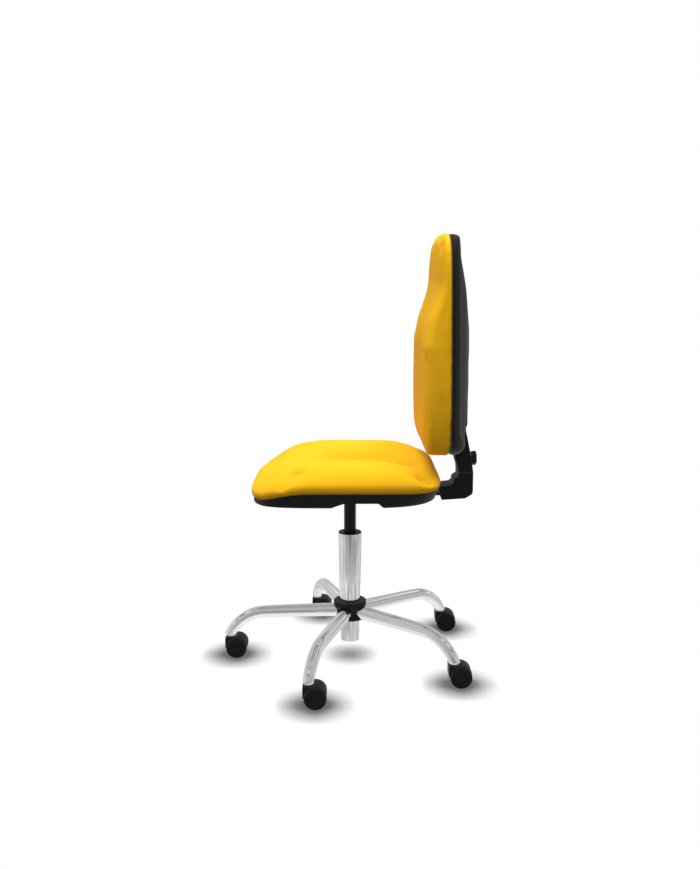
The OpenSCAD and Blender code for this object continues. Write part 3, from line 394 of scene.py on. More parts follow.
def way_round(outline):
    """1 for an outline that turns to the left, -1 for one that turns to the right."""
    pairs = zip(outline, outline[1:] + outline[:1])
    return 1 if sum(a[0] * b[1] - b[0] * a[1] for a, b in pairs) > 0 else -1


def side_levels(half_w, edge, steps):
    """Places across X and the inset at each, from one rounded side edge to the other."""
    levels = [(-half_w + edge * (1 - cos(a)), edge * (1 - sin(a)))
              for a in np.linspace(0, pi / 2, steps + 1)]
    return levels + [(-x, inset) for x, inset in reversed(levels)]


def capped(name, rings):
    """Solid through rings of points, with a flat face at each end."""
    n = len(rings[0])
    points = [p for ring in rings for p in ring]
    faces = [(a + j, a + n + j, a + n + (j + 1) % n, a + (j + 1) % n)
             for a in range(0, len(points) - n, n) for j in range(n)]
    faces += [tuple(range(n)), tuple(reversed(range(len(points) - n, len(points))))]
    return new_object(name, points, faces)


def slab(name, outline, half_w, edge=0.0, steps=4):
    """Outline in Y and Z, drawn out across X, its side edges rounded by a radius."""
    way = way_round(outline)
    inward = []
    for last, after in zip(outline[-1:] + outline[:-1], outline[1:] + outline[:1]):
        along = (Vector(after) - Vector(last)).normalized()
        inward.append(Vector((-along.y, along.x)) * way)
    levels = side_levels(half_w, edge, steps) if edge else [(-half_w, 0), (half_w, 0)]
    return capped(name, [[(x, p[0] + d.x * inset, p[1] + d.y * inset) for p, d in zip(outline, inward)]
                         for x, inset in levels])


def offset(corners, d):
    """Sharp outline moved inwards by d; corner radii shrink or grow with it."""
    count = len(corners)
    way = way_round(corners)
    out = []
    for i in range(count):
        last, here, after = (Vector(corners[k % count][:2]) for k in (i - 1, i, i + 1))
        a, b = (here - last).normalized(), (after - here).normalized()
        normal_a, normal_b = Vector((-a.y, a.x)) * way, Vector((-b.y, b.x)) * way
        place = here + (normal_a + normal_b) * d / (1 + normal_a.dot(normal_b))
        bend = (a.x * b.y - a.y * b.x) * way
        r = corners[i][2]
        out.append((place.x, place.y, max(0.0002, r - d) if bend > 0 else r + d))
    return out


def moulded(name, corners, half_w, edge, steps=4):
    """Outline in Y and Z given by sharp corners and their radii, drawn out across X with round side edges."""
    return capped(name, [[(x, y, z) for y, z in rounded(offset(corners, inset), 0.003, 6)]
                         for x, inset in side_levels(half_w, edge, steps)])


def box(name, low, high):
    points = [(x, y, z) for x in (low[0], high[0]) for y in (low[1], high[1]) for z in (low[2], high[2])]
    faces = [(0, 1, 3, 2), (4, 6, 7, 5), (0, 4, 5, 1), (2, 3, 7, 6), (0, 2, 6, 4), (1, 5, 7, 3)]
    return new_object(name, points, faces)


def rod(name, start, end, radius, count=64):
    """Plain round bar between two points, used to cut holes."""
    start, end = Vector(start), Vector(end)
    turn = (end - start).to_track_quat("Z", "Y")
    ring = [turn @ Vector((radius * cos(t), radius * sin(t), 0)) for t in turns(count)]
    return ringed(name, [[start + v for v in ring], [end + v for v in ring]], start, end)


def assign(target, **values):
    for key, value in values.items():
        setattr(target, key, value)


def modify(obj, kind, **settings):
    assign(obj.modifiers.new(kind, kind), **settings)


def settle(obj):
    """Applies an object's modifiers to its mesh."""
    graph = bpy.context.evaluated_depsgraph_get()
    mesh = bpy.data.meshes.new_from_object(obj.evaluated_get(graph))
    old = obj.data
    obj.modifiers.clear()
    obj.data = mesh
    mesh.name = old.name
    bpy.data.meshes.remove(old)


def combine(obj, operation, others):
    """Applies a boolean with each of the other objects, which are then removed."""
    for other in others:
        modify(obj, "BOOLEAN", operation=operation, solver="EXACT", object=other)
    settle(obj)
    for other in others:
        bpy.data.objects.remove(other, do_unlink=True)
    tidy_faces(obj)


def cut(obj, *tools):
    combine(obj, "DIFFERENCE", tools)


def unite(obj, *others):
    combine(obj, "UNION", others)


def soften(obj, width, segments=2, angle=radians(34)):
    """Rounds the sharp edges of a moulded or pressed piece."""
    modify(obj, "BEVEL", width=width, segments=segments, limit_method="ANGLE", angle_limit=angle,
           use_clamp_overlap=True, harden_normals=False)
    settle(obj)
    tidy_faces(obj)


def soft_copy(node, width, segments=2):
    """A copy of a CAD node with rounded edges."""
    obj = bpy.data.objects.new(node + "_shape", frame["nodes"][node].data.copy())
    bpy.context.collection.objects.link(obj)
    with editing(obj) as bm:
        bmesh.ops.remove_doubles(bm, verts=bm.verts, dist=SAME_POINT)
        bmesh.ops.dissolve_limit(bm, angle_limit=radians(1), verts=bm.verts, edges=bm.edges)
    soften(obj, width, segments)
    return obj


# Materials

def material(name, colour, roughness, metallic=0.0):
    """A material, its node tree, its main shader and its texture coordinates."""
    mat = bpy.data.materials.new(name)
    mat.use_nodes = True
    shader = mat.node_tree.nodes["Principled BSDF"]
    shader.inputs["Base Color"].default_value = (*colour, 1)
    shader.inputs["Roughness"].default_value = roughness
    shader.inputs["Metallic"].default_value = metallic
    return mat, mat.node_tree, shader, add(mat.node_tree, "TexCoord")


def add(tree, kind, links=(), **values):
    """New shader node; values set its settings or sockets, links join (socket, node, output)."""
    node = tree.nodes.new("ShaderNode" + kind)
    for key, value in values.items():
        if hasattr(node, key):
            setattr(node, key, value)
        else:
            node.inputs[key.replace("_", " ")].default_value = value
    for socket, source, output in links:
        tree.links.new(source.outputs[output], node.inputs[socket])
    return node


def axes(tree, coords, output):
    """The X, Y and Z sockets of a texture coordinate."""
    return list(add(tree, "SeparateXYZ", [(0, coords, output)]).outputs)


def noise(tree, coords, scale, detail=2.0):
    return add(tree, "TexNoise", [("Vector", coords, "Object")], Scale=scale, Detail=detail)


def roughen(tree, shader, source, low, high):
    """Roughness from low to high by a noise."""
    spread = add(tree, "MapRange", [("Value", source, "Fac")], To_Min=low, To_Max=high)
    tree.links.new(spread.outputs["Result"], shader.inputs["Roughness"])


def raise_bump(tree, shader, source, output, strength, distance, before=None):
    bump = add(tree, "Bump", [("Height", source, output)], Strength=strength, Distance=distance)
    if before:
        tree.links.new(before.outputs["Normal"], bump.inputs["Normal"])
    tree.links.new(bump.outputs["Normal"], shader.inputs["Normal"])
    return bump


def blend_colours(tree, share, dark, light):
    blend = add(tree, "Mix", data_type="RGBA")
    tree.links.new(share, blend.inputs[0])
    blend.inputs[6].default_value = (*dark, 1)
    blend.inputs[7].default_value = (*light, 1)
    return blend.outputs[2]


def shade_between(tree, shader, source, dark, light):
    """Colour from dark to light by a noise."""
    tree.links.new(blend_colours(tree, source.outputs["Fac"], dark, light), shader.inputs["Base Color"])


def feed(tree, node, sources):
    """Gives a node its inputs by number, each a value or the socket of another node."""
    for i, source in sources.items():
        if isinstance(source, (int, float)):
            node.inputs[i].default_value = source
        else:
            tree.links.new(source, node.inputs[i])
    return node.outputs[0]


def math_node(tree, operation, *sources):
    return feed(tree, add(tree, "Math", operation=operation), dict(enumerate(sources)))


def times(tree, a, b):
    return math_node(tree, "MULTIPLY", a, b)


def plus(tree, a, b):
    return math_node(tree, "ADD", a, b)


def mix_node(tree, share, low, high):
    """Value between low and high by a share."""
    return feed(tree, add(tree, "Mix", data_type="FLOAT"), {0: share, 2: low, 3: high})


def mix_shader(tree, share, low, high):
    return feed(tree, add(tree, "MixShader"), {0: share, 1: low, 2: high})


# Fabric: size of its loops, and how far and how strongly painted shade at seams and in folds darkens its
# colour
LOOP_ROW = 0.0034
LOOP_COLUMN = 0.0027
SEAM_SHADE_REACH = 0.036
SEAM_SHADE_POWER = 1.6
FOLD_SHADE_REACH = 0.11
FOLD_SHADE_POWER = 6.0
PAINTED_SHADE_DARKEST = 0.5


def knit_fabric():
    """Knitted polyester: wavy rows of small loops, slightly uneven in colour, with a soft sheen, and painted
    shade from ambient occlusion darkening its colour near other parts and in its folds.
    """
    mat, tree, shader, coords = material("knit_fabric", (0.9, 0.49, 0.02), 0.86)
    for socket, value in (("Specular IOR Level", 0.10), ("Sheen Weight", 0.03), ("Sheen Roughness", 0.5),
                          ("Sheen Tint", (1.0, 0.78, 0.3, 1))):
        shader.inputs[socket].default_value = value
    x, y, z = axes(tree, coords, "Object")
    across = math_node(tree, "SINE", times(tree, x, 2 * pi / LOOP_COLUMN))
    along = math_node(tree, "SINE", times(tree, y, 2 * pi / LOOP_COLUMN))
    drift = times(tree, plus(tree, across, along), 0.7)
    upward = times(tree, z, 2 * pi / LOOP_ROW)
    rows = math_node(tree, "SINE", plus(tree, upward, drift))
    level = times(tree, across, along)
    weave = plus(tree, level, times(tree, rows, 0.8))
    loops = add(tree, "MapRange", From_Min=-1.8, From_Max=1.8)
    tree.links.new(weave, loops.inputs["Value"])
    cloudy = noise(tree, coords, 9.0, 4.0)
    fibres = noise(tree, coords, 1400.0)
    tone = plus(tree, times(tree, loops.outputs["Result"], 0.55), times(tree, cloudy.outputs["Fac"], 0.45))
    colour = blend_colours(tree, tone, (0.71, 0.357, 0.006), (0.86, 0.474, 0.011))
    # Painted shade: ambient occlusion from nearby parts at the seams, and from the pad's own hollows and
    # folds, darkens the colour
    beside = add(tree, "AmbientOcclusion", Distance=SEAM_SHADE_REACH, samples=12)
    fold_shade = add(tree, "AmbientOcclusion", Distance=FOLD_SHADE_REACH, samples=16, only_local=True)
    unshaded_share = times(tree, math_node(tree, "POWER", beside.outputs["AO"], SEAM_SHADE_POWER),
                       math_node(tree, "POWER", fold_shade.outputs["AO"], FOLD_SHADE_POWER))
    depth = math_node(tree, "MAXIMUM", unshaded_share, PAINTED_SHADE_DARKEST)
    # The painted shade scales the base colour
    painted_shade = add(tree, "VectorMath", operation="SCALE")
    tree.links.new(colour, painted_shade.inputs[0])
    tree.links.new(depth, painted_shade.inputs["Scale"])
    tree.links.new(painted_shade.outputs["Vector"], shader.inputs["Base Color"])
    lower = raise_bump(tree, shader, loops, "Result", 0.35, 0.0004)
    raise_bump(tree, shader, fibres, "Fac", 0.2, 0.0002, lower)
    return mat


def moulded_plastic(name, colour, roughness, grain=620.0):
    """Injection-moulded plastic with a fine grain and faint rubbed patches."""
    mat, tree, shader, coords = material(name, colour, roughness)
    shader.inputs["Specular IOR Level"].default_value = 0.12
    rubbed = noise(tree, coords, 14.0, 3.0)
    lighter = tuple(1.35 * c for c in colour)
    shade_between(tree, shader, rubbed, tuple(0.8 * c for c in colour), lighter)
    roughen(tree, shader, rubbed, roughness - 0.07, roughness + 0.07)
    raise_bump(tree, shader, noise(tree, coords, grain), "Fac", 0.12, 0.0003)
    return mat


def chrome():
    """Polished chrome plate with faint cloudiness from handling."""
    mat, tree, shader, coords = material("chrome_plate", (0.80, 0.81, 0.82), 0.07, 1.0)
    haze = noise(tree, coords, 22.0, 5.0)
    roughen(tree, shader, haze, 0.03, 0.075)
    raise_bump(tree, shader, noise(tree, coords, 55.0), "Fac", 0.015, 0.001)
    return mat


def bare_metal(name, colour, roughness):
    mat, tree, shader, coords = material(name, colour, roughness, 1.0)
    patches = noise(tree, coords, 60.0, 4.0)
    shade_between(tree, shader, patches, tuple(0.85 * c for c in colour), colour)
    roughen(tree, shader, patches, roughness - 0.08, roughness + 0.1)
    raise_bump(tree, shader, noise(tree, coords, 900.0), "Fac", 0.1, 0.0002)
    return mat


def powder_coat():
    """Black powder coat with its orange-peel surface."""
    mat, tree, shader, coords = material("powder_coat", (0.007, 0.007, 0.0075), 0.38)
    shader.inputs["Specular IOR Level"].default_value = 0.2
    peel = noise(tree, coords, 300.0)
    patches = noise(tree, coords, 20.0, 3.0)
    shade_between(tree, shader, patches, (0.005, 0.005, 0.0055), (0.009, 0.009, 0.0095))
    roughen(tree, shader, peel, 0.32, 0.44)
    raise_bump(tree, shader, peel, "Fac", 0.15, 0.0004)
    return mat


def plywood():
    """Beech plywood with long grain along Y."""
    mat, tree, shader, coords = material("beech_plywood", (0.55, 0.38, 0.2), 0.6)
    stretch = add(tree, "Mapping", [("Vector", coords, "Object")], Scale=(60.0, 6.0, 260.0))
    grain = add(tree, "TexNoise", [("Vector", stretch, "Vector")], Scale=1.0, Detail=5.0)
    shade_between(tree, shader, grain, (0.40, 0.25, 0.12), (0.66, 0.48, 0.28))
    raise_bump(tree, shader, grain, "Fac", 0.1, 0.0003)
    return mat


FINISHES = {
    "chrome": chrome(),
    "castor_plastic": moulded_plastic("castor_nylon", (0.0062, 0.0062, 0.0065), 0.42, 800.0),
    "hub_plastic": moulded_plastic("hub_plastic", (0.0150, 0.0150, 0.0154), 0.44),
    "shell_plastic": moulded_plastic("shell_plastic", (0.0088, 0.0092, 0.0090), 0.5),
    "knob_plastic": moulded_plastic("knob_plastic", (0.0072, 0.0072, 0.0075), 0.46),
    "black_steel": powder_coat(),
    "zinc_steel": bare_metal("zinc_plate", (0.56, 0.57, 0.58), 0.36),
    "brass_pin": bare_metal("turned_brass", (0.78, 0.6, 0.3), 0.3),
    "plywood": plywood(),
    "yellow_fabric": knit_fabric(),
}
SLOTS = {part["node"]: part["material_slot"] for part in frame["record"]["subparts"]}
BODY_OF = {node: body for body, nodes in frame["record"]["behaviour"]["bodies"].items() for node in nodes}


def stand_for(obj, node):
    """The piece takes a node's place, body and finish."""
    slot = SLOTS[node]
    obj.data.materials.clear()
    obj.data.materials.append(FINISHES[slot])
    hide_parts(node)
    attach(obj, BODY_OF[node])


# Base

def leg_station(place):
    return (mix(LEG_ROOT_R, LEG_REACH, spline(LEG_REACH_SHARES, place)),
            mix(LEG_END_Z - FIT, LEG_ROOT_Z, spline(LEG_HEIGHT_SHARES, place)),
            mix(LEG_TIP_D, LEG_ROOT_D, spline(LEG_RADIUS_SHARES, place)) / 2)


def at_leg(i, r, side, z):
    """World point at reach r and sideways distance along leg i."""
    a = LEG_FIRST + i * LEG_TURN
    return (r * cos(a) - side * sin(a), r * sin(a) + side * cos(a), z)


def leg(i):
    steps, sides = 9, 48
    last = (len(LEG_REACH_SHARES) - 1) * steps
    stations = [leg_station(k / steps) for k in range(last + 1)]
    rings = []
    for k, (r, z, radius) in enumerate(stations):
        before, after = stations[max(0, k - 1)], stations[min(last, k + 1)]
        way = (1.0, 0.0) if k == 0 else (after[0] - before[0], after[1] - before[1])
        length = hypot(*way)
        up = (-way[1] / length, way[0] / length)
        rings.append([at_leg(i, r + up[0] * radius * cos(t), radius * sin(t),
                             z + up[1] * radius * cos(t)) for t in turns(sides)])
    first, tip = stations[0], stations[-1]
    tube = ringed(f"leg_tube_{i + 1}", rings, at_leg(i, first[0], 0, first[1]), at_leg(i, tip[0], 0, tip[1]))
    with editing(tube) as bm:
        everything = list(bm.verts) + list(bm.edges) + list(bm.faces)
        bmesh.ops.bisect_plane(bm, geom=everything, plane_co=(0, 0, LEG_END_Z + COLLAR_H),
                               plane_no=(0, 0, 1), clear_inner=True)
        bmesh.ops.contextual_create(bm, geom=[e for e in bm.edges if e.is_boundary])
    soften(tube, LEG_END_ROUND, 3)
    join(tube, leg_collar(i))
    stand_for(tube, f"leg_{i + 1}")


def leg_collar(i):
    """Narrow ring under the cut end of the tube, where the castor's stem goes in."""
    low, high, r = LEG_END_Z, LEG_END_Z + COLLAR_H + 0.001, COLLAR_R
    outline = rounded([(COLLAR_BORE_R, low), (r, low), (r, high), (COLLAR_BORE_R, high)], 0.0006, 3)
    return revolve("leg_collar", outline, 48, lambda x, y, h: at_leg(i, CASTOR_R + x, y, h))


def join(obj, other):
    """Puts another object's mesh into obj's mesh."""
    with editing(obj) as bm:
        bm.from_mesh(other.data)
    bpy.data.objects.remove(other, do_unlink=True)


def hub_cover():
    core = HUB_CORE_R + GAP
    outline = rounded([
        (column_r(HUB_BOTTOM) + GAP, HUB_BOTTOM, 0.0005), (HUB_FOOT_R, HUB_BOTTOM),
        (HUB_FOOT_R, HUB_BOTTOM + HUB_FOOT_H),
        (core + 0.0016, LEG_ROOT_Z - 0.002, 0.012), (core + 0.002, HUB_TOP - HUB_COLLAR_H - 0.005, 0.006),
        (HUB_R, HUB_TOP - HUB_COLLAR_H, 0.002), (HUB_R, HUB_TOP, 0.0035),
        (column_r(HUB_TOP) + GAP, HUB_TOP, 0.0005)], 0.0024, 6)
    cover = revolve("hub_cover_shape", outline)
    holes = [rod("hole", at_leg(i, column_r(LEG_ROOT_Z), 0, LEG_ROOT_Z),
                 at_leg(i, 2 * HUB_R, 0, LEG_ROOT_Z), LEG_ROOT_D / 2 + GAP) for i in range(LEG_COUNT)]
    low, high = (corner[2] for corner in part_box("hub_core"))
    cut(cover, rod("core", (0, 0, low - GAP), (0, 0, high + GAP), core, 96), *holes)
    soften(cover, 0.0006, 2)
    stand_for(cover, "hub_cover")


def column_tube():
    """Chrome tube with the floor near its lower end that the rod's clip holds."""
    top_in, bottom_in = COLUMN_TOP_R - COLUMN_WALL, COLUMN_BOTTOM_R - COLUMN_WALL
    under, over = COLUMN_BOTTOM + COLUMN_WALL, COLUMN_FLOOR_TOP
    outline = rounded([
        (CLIP_BORE_R, under, 0.0003), (bottom_in, under, 0.0005),
        (bottom_in, COLUMN_BOTTOM, 0.0005), (COLUMN_BOTTOM_R, COLUMN_BOTTOM, 0.0012),
        (COLUMN_TOP_R, COLUMN_TOP, 0.0009), (top_in, COLUMN_TOP, 0.0006),
        (column_r(over) - COLUMN_WALL, over, 0.0005), (CLIP_BORE_R, over, 0.0003)], 0.0005, 4)
    stand_for(revolve("column_shape", outline, 160), "column_tube")


def gas_column():
    """Black cylinder with the fine chamfer and the cone that holds it in the mechanism."""
    low, high = (corner[2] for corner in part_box("gas_cylinder"))
    head, foot = high - GAS_HEAD, low + GAS_FOOT
    outer = [(CLIP_BORE_R, low, 0.0003), (GAS_R, low, 0.001), (GAS_R, GAS_CONE_Z, 0.0005),
             (GAS_R - GAS_CONE_FALL, high, 0.0005), (GAS_PIN_R, high, 0.0003), (GAS_PIN_R, head, 0.0003),
             (GAS_BORE_R, head, 0.0005), (GAS_BORE_R, foot, 0.0005), (CLIP_BORE_R, foot, 0.0003)]
    stand_for(revolve("gas_cylinder_shape", rounded(outer, 0.0005, 3), 96), "gas_cylinder")


def column_bush():
    """Guide bush inside the column's mouth, its lip on the column's rim."""
    low, high = COLUMN_TOP - BUSH_DEPTH, COLUMN_TOP + BUSH_LIP_H
    lip = COLUMN_TOP_R - COLUMN_WALL / 2
    outline = rounded([
        (BUSH_BORE_R, low, 0.0004), (column_r(low) - COLUMN_WALL - FIT, low, 0.0008),
        (COLUMN_TOP_R - COLUMN_WALL - FIT, COLUMN_TOP, 0.0001), (lip, COLUMN_TOP, 0.0001),
        (lip, high, 0.0007), (BUSH_BORE_R, high, 0.0007)], 0.0005, 4)
    stand_for(revolve("column_bush_shape", outline), "column_bush")


# Castors

def castor_place(i):
    x, y, _ = at_leg(i, CASTOR_R, 0, 0)
    return x, y


def castor_hood(i):
    """Fork and fender over both wheels, with the flat front that holds the stem."""
    x0, y0 = castor_place(i)
    arc = [(CASTOR_TRAIL + HOOD_R * cos(a), WHEEL_R + HOOD_R * sin(a), 0.004)
           for a in np.linspace(radians(18), pi / 2, 10)]
    hood = moulded("hood", arc + [
        (-HOOD_FRONT, HOOD_TOP, 0.0035), (-HOOD_FRONT, HOOD_FOOT, 0.002), (-HOOD_FRONT / 2, HOOD_FOOT, 0.002),
        (CASTOR_TRAIL, WHEEL_R - WEB_R, 0.002), (CASTOR_TRAIL + WEB_R, WHEEL_R, 0.001)],
        HOOD_HALF_W, 0.0022, 4)

    def beside(x):
        return x, CASTOR_TRAIL, WHEEL_R
    past = WHEEL_IN + WHEEL_W + WHEEL_CAP
    pockets = [rod("pocket", beside(s * WEB_HALF_W), beside(s * past), POCKET_R, 96) for s in (-1, 1)]
    axle = rod("axle", beside(-past), beside(past), WHEEL_BORE_R, 32)
    stem = rod("stem", (0, 0, STEM_BORE_Z), (0, 0, HOOD_TOP + STEM_BORE_Z), STEM_BORE_R, 32)
    cut(hood, *pockets, axle, stem)
    soften(hood, 0.0004, 2)
    hood.name = f"castor_hood_shape_{i + 1}"
    shift(hood, x0, y0)
    stand_for(hood, f"castor_hood_{i + 1}")


def shift(obj, x, y, z=0.0):
    for vertex in obj.data.vertices:
        vertex.co += Vector((x, y, z))


def wheel(i, side, node):
    """Twin-castor wheel: rounded tread, fine rim groove and a slightly dished outer face."""
    x0, y0 = castor_place(i)
    r, w = WHEEL_R, WHEEL_W
    rim, lip, inner_lip = r - WHEEL_RIM, r - WHEEL_LIP, r - WHEEL_LIP - 0.0008
    outline = rounded([
        (0, w - WHEEL_CAP, 0.0), (WHEEL_BORE_R, w - WHEEL_CAP, 0.0), (WHEEL_BORE_R, 0, 0.0003),
        (WHEEL_BOSS_R, 0, 0.0003), (WHEEL_BOSS_R, WHEEL_DISH, 0.0003), (rim, WHEEL_DISH, 0.0003),
        (rim, 0, 0.0003), (r, 0, 0.0022), (r, w, 0.0026), (lip, w, 0.0004),
        (lip, w - WHEEL_GROOVE, 0.0002), (inner_lip, w - WHEEL_GROOVE, 0.0002),
        (inner_lip, w - 0.0002, 0.0004), (r - 0.0062, w - 0.0008, 0.001),
        (0.0052, w - WHEEL_DISH, 0.001), (0.0042, w - 0.0002, 0.0006), (0, w, 0.0)], 0.0006, 4)
    centre = (x0, y0 + CASTOR_TRAIL, WHEEL_R)
    piece = revolve(f"{node}_shape", outline, 96,
                    lambda a, b, h: (centre[0] + side * (WHEEL_IN + h), centre[1] + a, centre[2] + b))
    stand_for(piece, node)


# Seat

def seat_outline(p, t, corner):
    c, s = oval(t, corner)
    return SEAT_HALF_W * p * c, SEAT_MID_Y + SEAT_HALF_L * p * s


def seat_point(p, t):
    return seat_outline(p, t, by_end(t, SEAT_FRONT_CORNER, SEAT_REAR_CORNER))


def seam_z(y):
    return SEAT_SEAM - SEAT_SEAM_DROP * smooth(-SEAT_DROP_Y, -SEAT_FRONT, y) ** 3


def seat_relief(x, y):
    """Hollow along the middle, the dimple at each rear corner and the slanting fold at each front corner."""
    hollow = bell(x, SEAT_HOLLOW_W) * smooth(-SEAT_HALF_L / 2, 0, y)
    hollow *= 1 - smooth(SEAT_HALF_L / 2, SEAT_REAR, y)
    dimple = hypot((abs(x) - SEAT_DIMPLE_AT[0]) / SEAT_DIMPLE_W[0],
                        (y - SEAT_DIMPLE_AT[1]) / SEAT_DIMPLE_W[1])
    right, behind = abs(x) - SEAT_FOLD_AT[0], y - SEAT_FOLD_AT[1]
    fold = hypot((right + behind) / SEAT_FOLD_W[0], (right - behind) / SEAT_FOLD_W[1])
    return -SEAT_HOLLOW * hollow - SEAT_DIMPLE * bell(dimple, 1) - SEAT_FOLD * bell(fold, 1)


def seat_top(a, t):
    """Top surface at turn t; a runs from 0 at the rim to a quarter turn in the middle."""
    p = cos(a) ** SEAT_RING_POWER
    wall = (1 - p ** SEAT_SIDE_FALL) ** SEAT_SIDE_LEAN
    end = dome(p, by_end(t, SEAT_FRONT_DOME, SEAT_REAR_DOME))
    rise = mix(wall, end, sin(t) ** 2)
    x, y = seat_point(p, t)
    edge = seam_z(seat_point(1, t)[1]) + SEAT_BULGE
    return x, y, edge + (SEAT_CREST - edge) * rise + seat_relief(x, y)


def seat_edge(a, count):
    """Wall between the seam and the widest line, a quarter turn long."""
    share = mix(SEAT_SEAM_SHARE, 1, sin(a))
    rise = SEAT_BULGE * (1 - cos(a)) ** SEAT_BULGE_POWER
    out = []
    for t in turns(count):
        x, y = seat_point(share, t)
        out.append((x, y, seam_z(seat_point(1, t)[1]) + GAP + rise))
    return out


def seat_cushion():
    count = 176
    rings = [[(*seat_point(SEAT_FLAT_SHARE, t), SEAT_REST_Z) for t in turns(count)]]
    rings += [seat_edge(a, count) for a in np.linspace(0, pi / 2, 7)[:-1]]
    rings += [[seat_top(a, t) for t in turns(count)] for a in np.linspace(0, pi / 2 - 0.03, 44)]
    pad = ringed("seat_pad", rings, (0, SEAT_MID_Y, SEAT_REST_Z), seat_top(pi / 2, 0))
    stuff(pad, lambda v: v.z < seam_z(v.y) + HELD_H, SEAT_SWELL)
    stand_for(pad, "seat_cushion")


def stuff(pad, held, cap):
    """Swells a pad with cloth pressure. Points where held is true are pinned; none moves more than cap."""
    modify(pad, "REMESH", mode="VOXEL", voxel_size=CLOTH_VOXEL)
    settle(pad)
    modify(pad, "SMOOTH", factor=0.5, iterations=2)
    settle(pad)
    start = np.array([v.co[:] for v in pad.data.vertices])
    group = pad.vertex_groups.new(name="held")
    group.add([v.index for v in pad.data.vertices if held(v.co)], 1.0, "REPLACE")
    cloth = pad.modifiers.new("stuffing", "CLOTH")
    assign(cloth.settings, quality=5, mass=0.3, tension_stiffness=25, compression_stiffness=25,
           shear_stiffness=8, bending_stiffness=2, use_pressure=True, uniform_pressure_force=4,
           vertex_group_mass="held")
    cloth.settings.effector_weights.gravity = 0
    assign(cloth.collision_settings, use_collision=False, use_self_collision=False)
    scene = bpy.context.scene
    for step in range(1, CLOTH_FRAMES + 1):
        scene.frame_set(step)
    graph = bpy.context.evaluated_depsgraph_get()
    moved = np.array([v.co[:] for v in pad.evaluated_get(graph).data.vertices])
    pad.modifiers.clear()
    scene.frame_set(1)
    way = moved - start
    ends = np.array([e.vertices[:] for e in pad.data.edges])
    links = np.maximum(np.bincount(ends.ravel(), minlength=len(start)), 1)[:, None]
    for _ in range(CLOTH_SMOOTHING):
        around = np.zeros_like(way)
        np.add.at(around, ends[:, 0], way[ends[:, 1]])
        np.add.at(around, ends[:, 1], way[ends[:, 0]])
        way = 0.5 * way + 0.5 * around / links
    far = np.maximum(np.linalg.norm(way, axis=1, keepdims=True), 1e-9)
    end = start + way * np.minimum(1, cap / far)
    pad.data.vertices.foreach_set("co", end.ravel())
    pad.vertex_groups.clear()
    modify(pad, "SUBSURF", levels=1, render_levels=1)
    settle(pad)
    tidy_faces(pad, radians(80))


def shell_floor(x, y):
    """Underside of the seat shell, raised in the cross recess and more so in its side walls."""
    height = RECESS_H + RECESS_SIDE_H * smooth(SEAT_BOARD_HALF, SEAT_BOARD_HALF + RECESS_SIDE_SLOPE, abs(x))
    return SHELL_Z + height * min(1, max(0, (RECESS_HALF - abs(y - RECESS_Y)) / RECESS_SLOPE))


def shell_ring(k, inset, lift, count):
    share = spline(SHELL_WALL_SHARES, k)
    fall = spline(SHELL_FALL_SHARES, k)
    out = []
    for t in turns(count):
        corner = by_end(t, mix(SEAT_FRONT_CORNER, SHELL_FRONT_CORNER, fall),
                        mix(SEAT_REAR_CORNER, SHELL_REAR_CORNER, fall))
        x, y = seat_outline(share - inset / SEAT_HALF_W, t, corner)
        top = seam_z(seat_outline(share, t, corner)[1]) - GAP
        z = mix(top, SHELL_Z, fall)
        out.append((x, y, max(z, shell_floor(x, y)) + lift))
    return out


def shell_inside(scale, lift, count):
    """Ring between the opening's edge at scale 0 and the foot of the wall at scale 1."""
    out = []
    for t in turns(count):
        c, s = oval(t, SHELL_OPEN_CORNER)
        hole = (SHELL_OPEN[0] * c, SHELL_OPEN_Y + SHELL_OPEN[1] * s)
        rim = seat_outline(SHELL_WALL_SHARES[-1], t, by_end(t, SHELL_FRONT_CORNER, SHELL_REAR_CORNER))
        x, y = mix(hole[0], rim[0], scale), mix(hole[1], rim[1], scale)
        out.append((x, y, shell_floor(x, y) + lift))
    return out


def seat_shell():
    count = 480
    wall = [k / 4 for k in range(13)]
    outer = [shell_inside(s, 0, count) for s in np.linspace(0, 1, 12)[:-1]]
    outer += [shell_ring(k, 0, 0, count) for k in reversed(wall)]
    inner = [shell_ring(k, SHELL_WALL, mix(-SHELL_WALL / 2, SHELL_WALL, k / 3), count) for k in wall]
    inner += [shell_inside(s, SHELL_WALL, count) for s in reversed(np.linspace(0, 1, 12)[:-1])]
    shell = looped("seat_shell_shape", outer + inner)
    low, high = SHELL_Z - CUTTER_PAST, SEAT_SEAM - RECESS_H

    def hole(x, y, radius, count):
        return rod("hole", (x, y, low), (x, y, high), radius, count)
    posts = [hole(sx * POST_AT[0], RECESS_Y + sy * POST_AT[1], POST_HOLE_R, 40)
             for sx in (-1, 1) for sy in (-1, 1)]
    screw_x = (SHELL_OPEN[0] + SEAT_BOARD_HALF) / 2
    cut(shell, *posts, *(hole(sx * screw_x, y, SCREW_HOLE_R, 24) for sx in (-1, 1) for y in SCREW_YS))
    stand_for(shell, "seat_shell")


# Back

def back_point(p, t):
    c, s = oval(t, by_end(t, BACK_LOW_CORNER, BACK_HIGH_CORNER))
    return (BACK_HALF_W * p * c * (1 - BACK_TAPER * smooth(BACK_TAPER_START, 1, s)),
            BACK_MID + BACK_HALF_H * p * s)


def shoulder(z):
    return smooth(SHOULDER_Z, SHOULDER_Z + SHOULDER_H, z)


def back_front(p, t):
    x, z = back_point(p, t)
    thick = mix(BACK_PAD, BACK_PAD_TOP, shoulder(z))
    m = mix(BACK_LOW_DOME, BACK_HIGH_DOME, shoulder(z))
    side = thick * BACK_SIDE_SHARE
    hollow = bell(x, BACK_HOLLOW_W) * (1 - shoulder(z)) * smooth(BACK_BOTTOM, BACK_BOTTOM + BACK_PAD, z)
    depth = side + (thick - side) * dome(p, m) - BACK_HOLLOW * hollow
    return x, BACK_SEAM_Y - depth, z


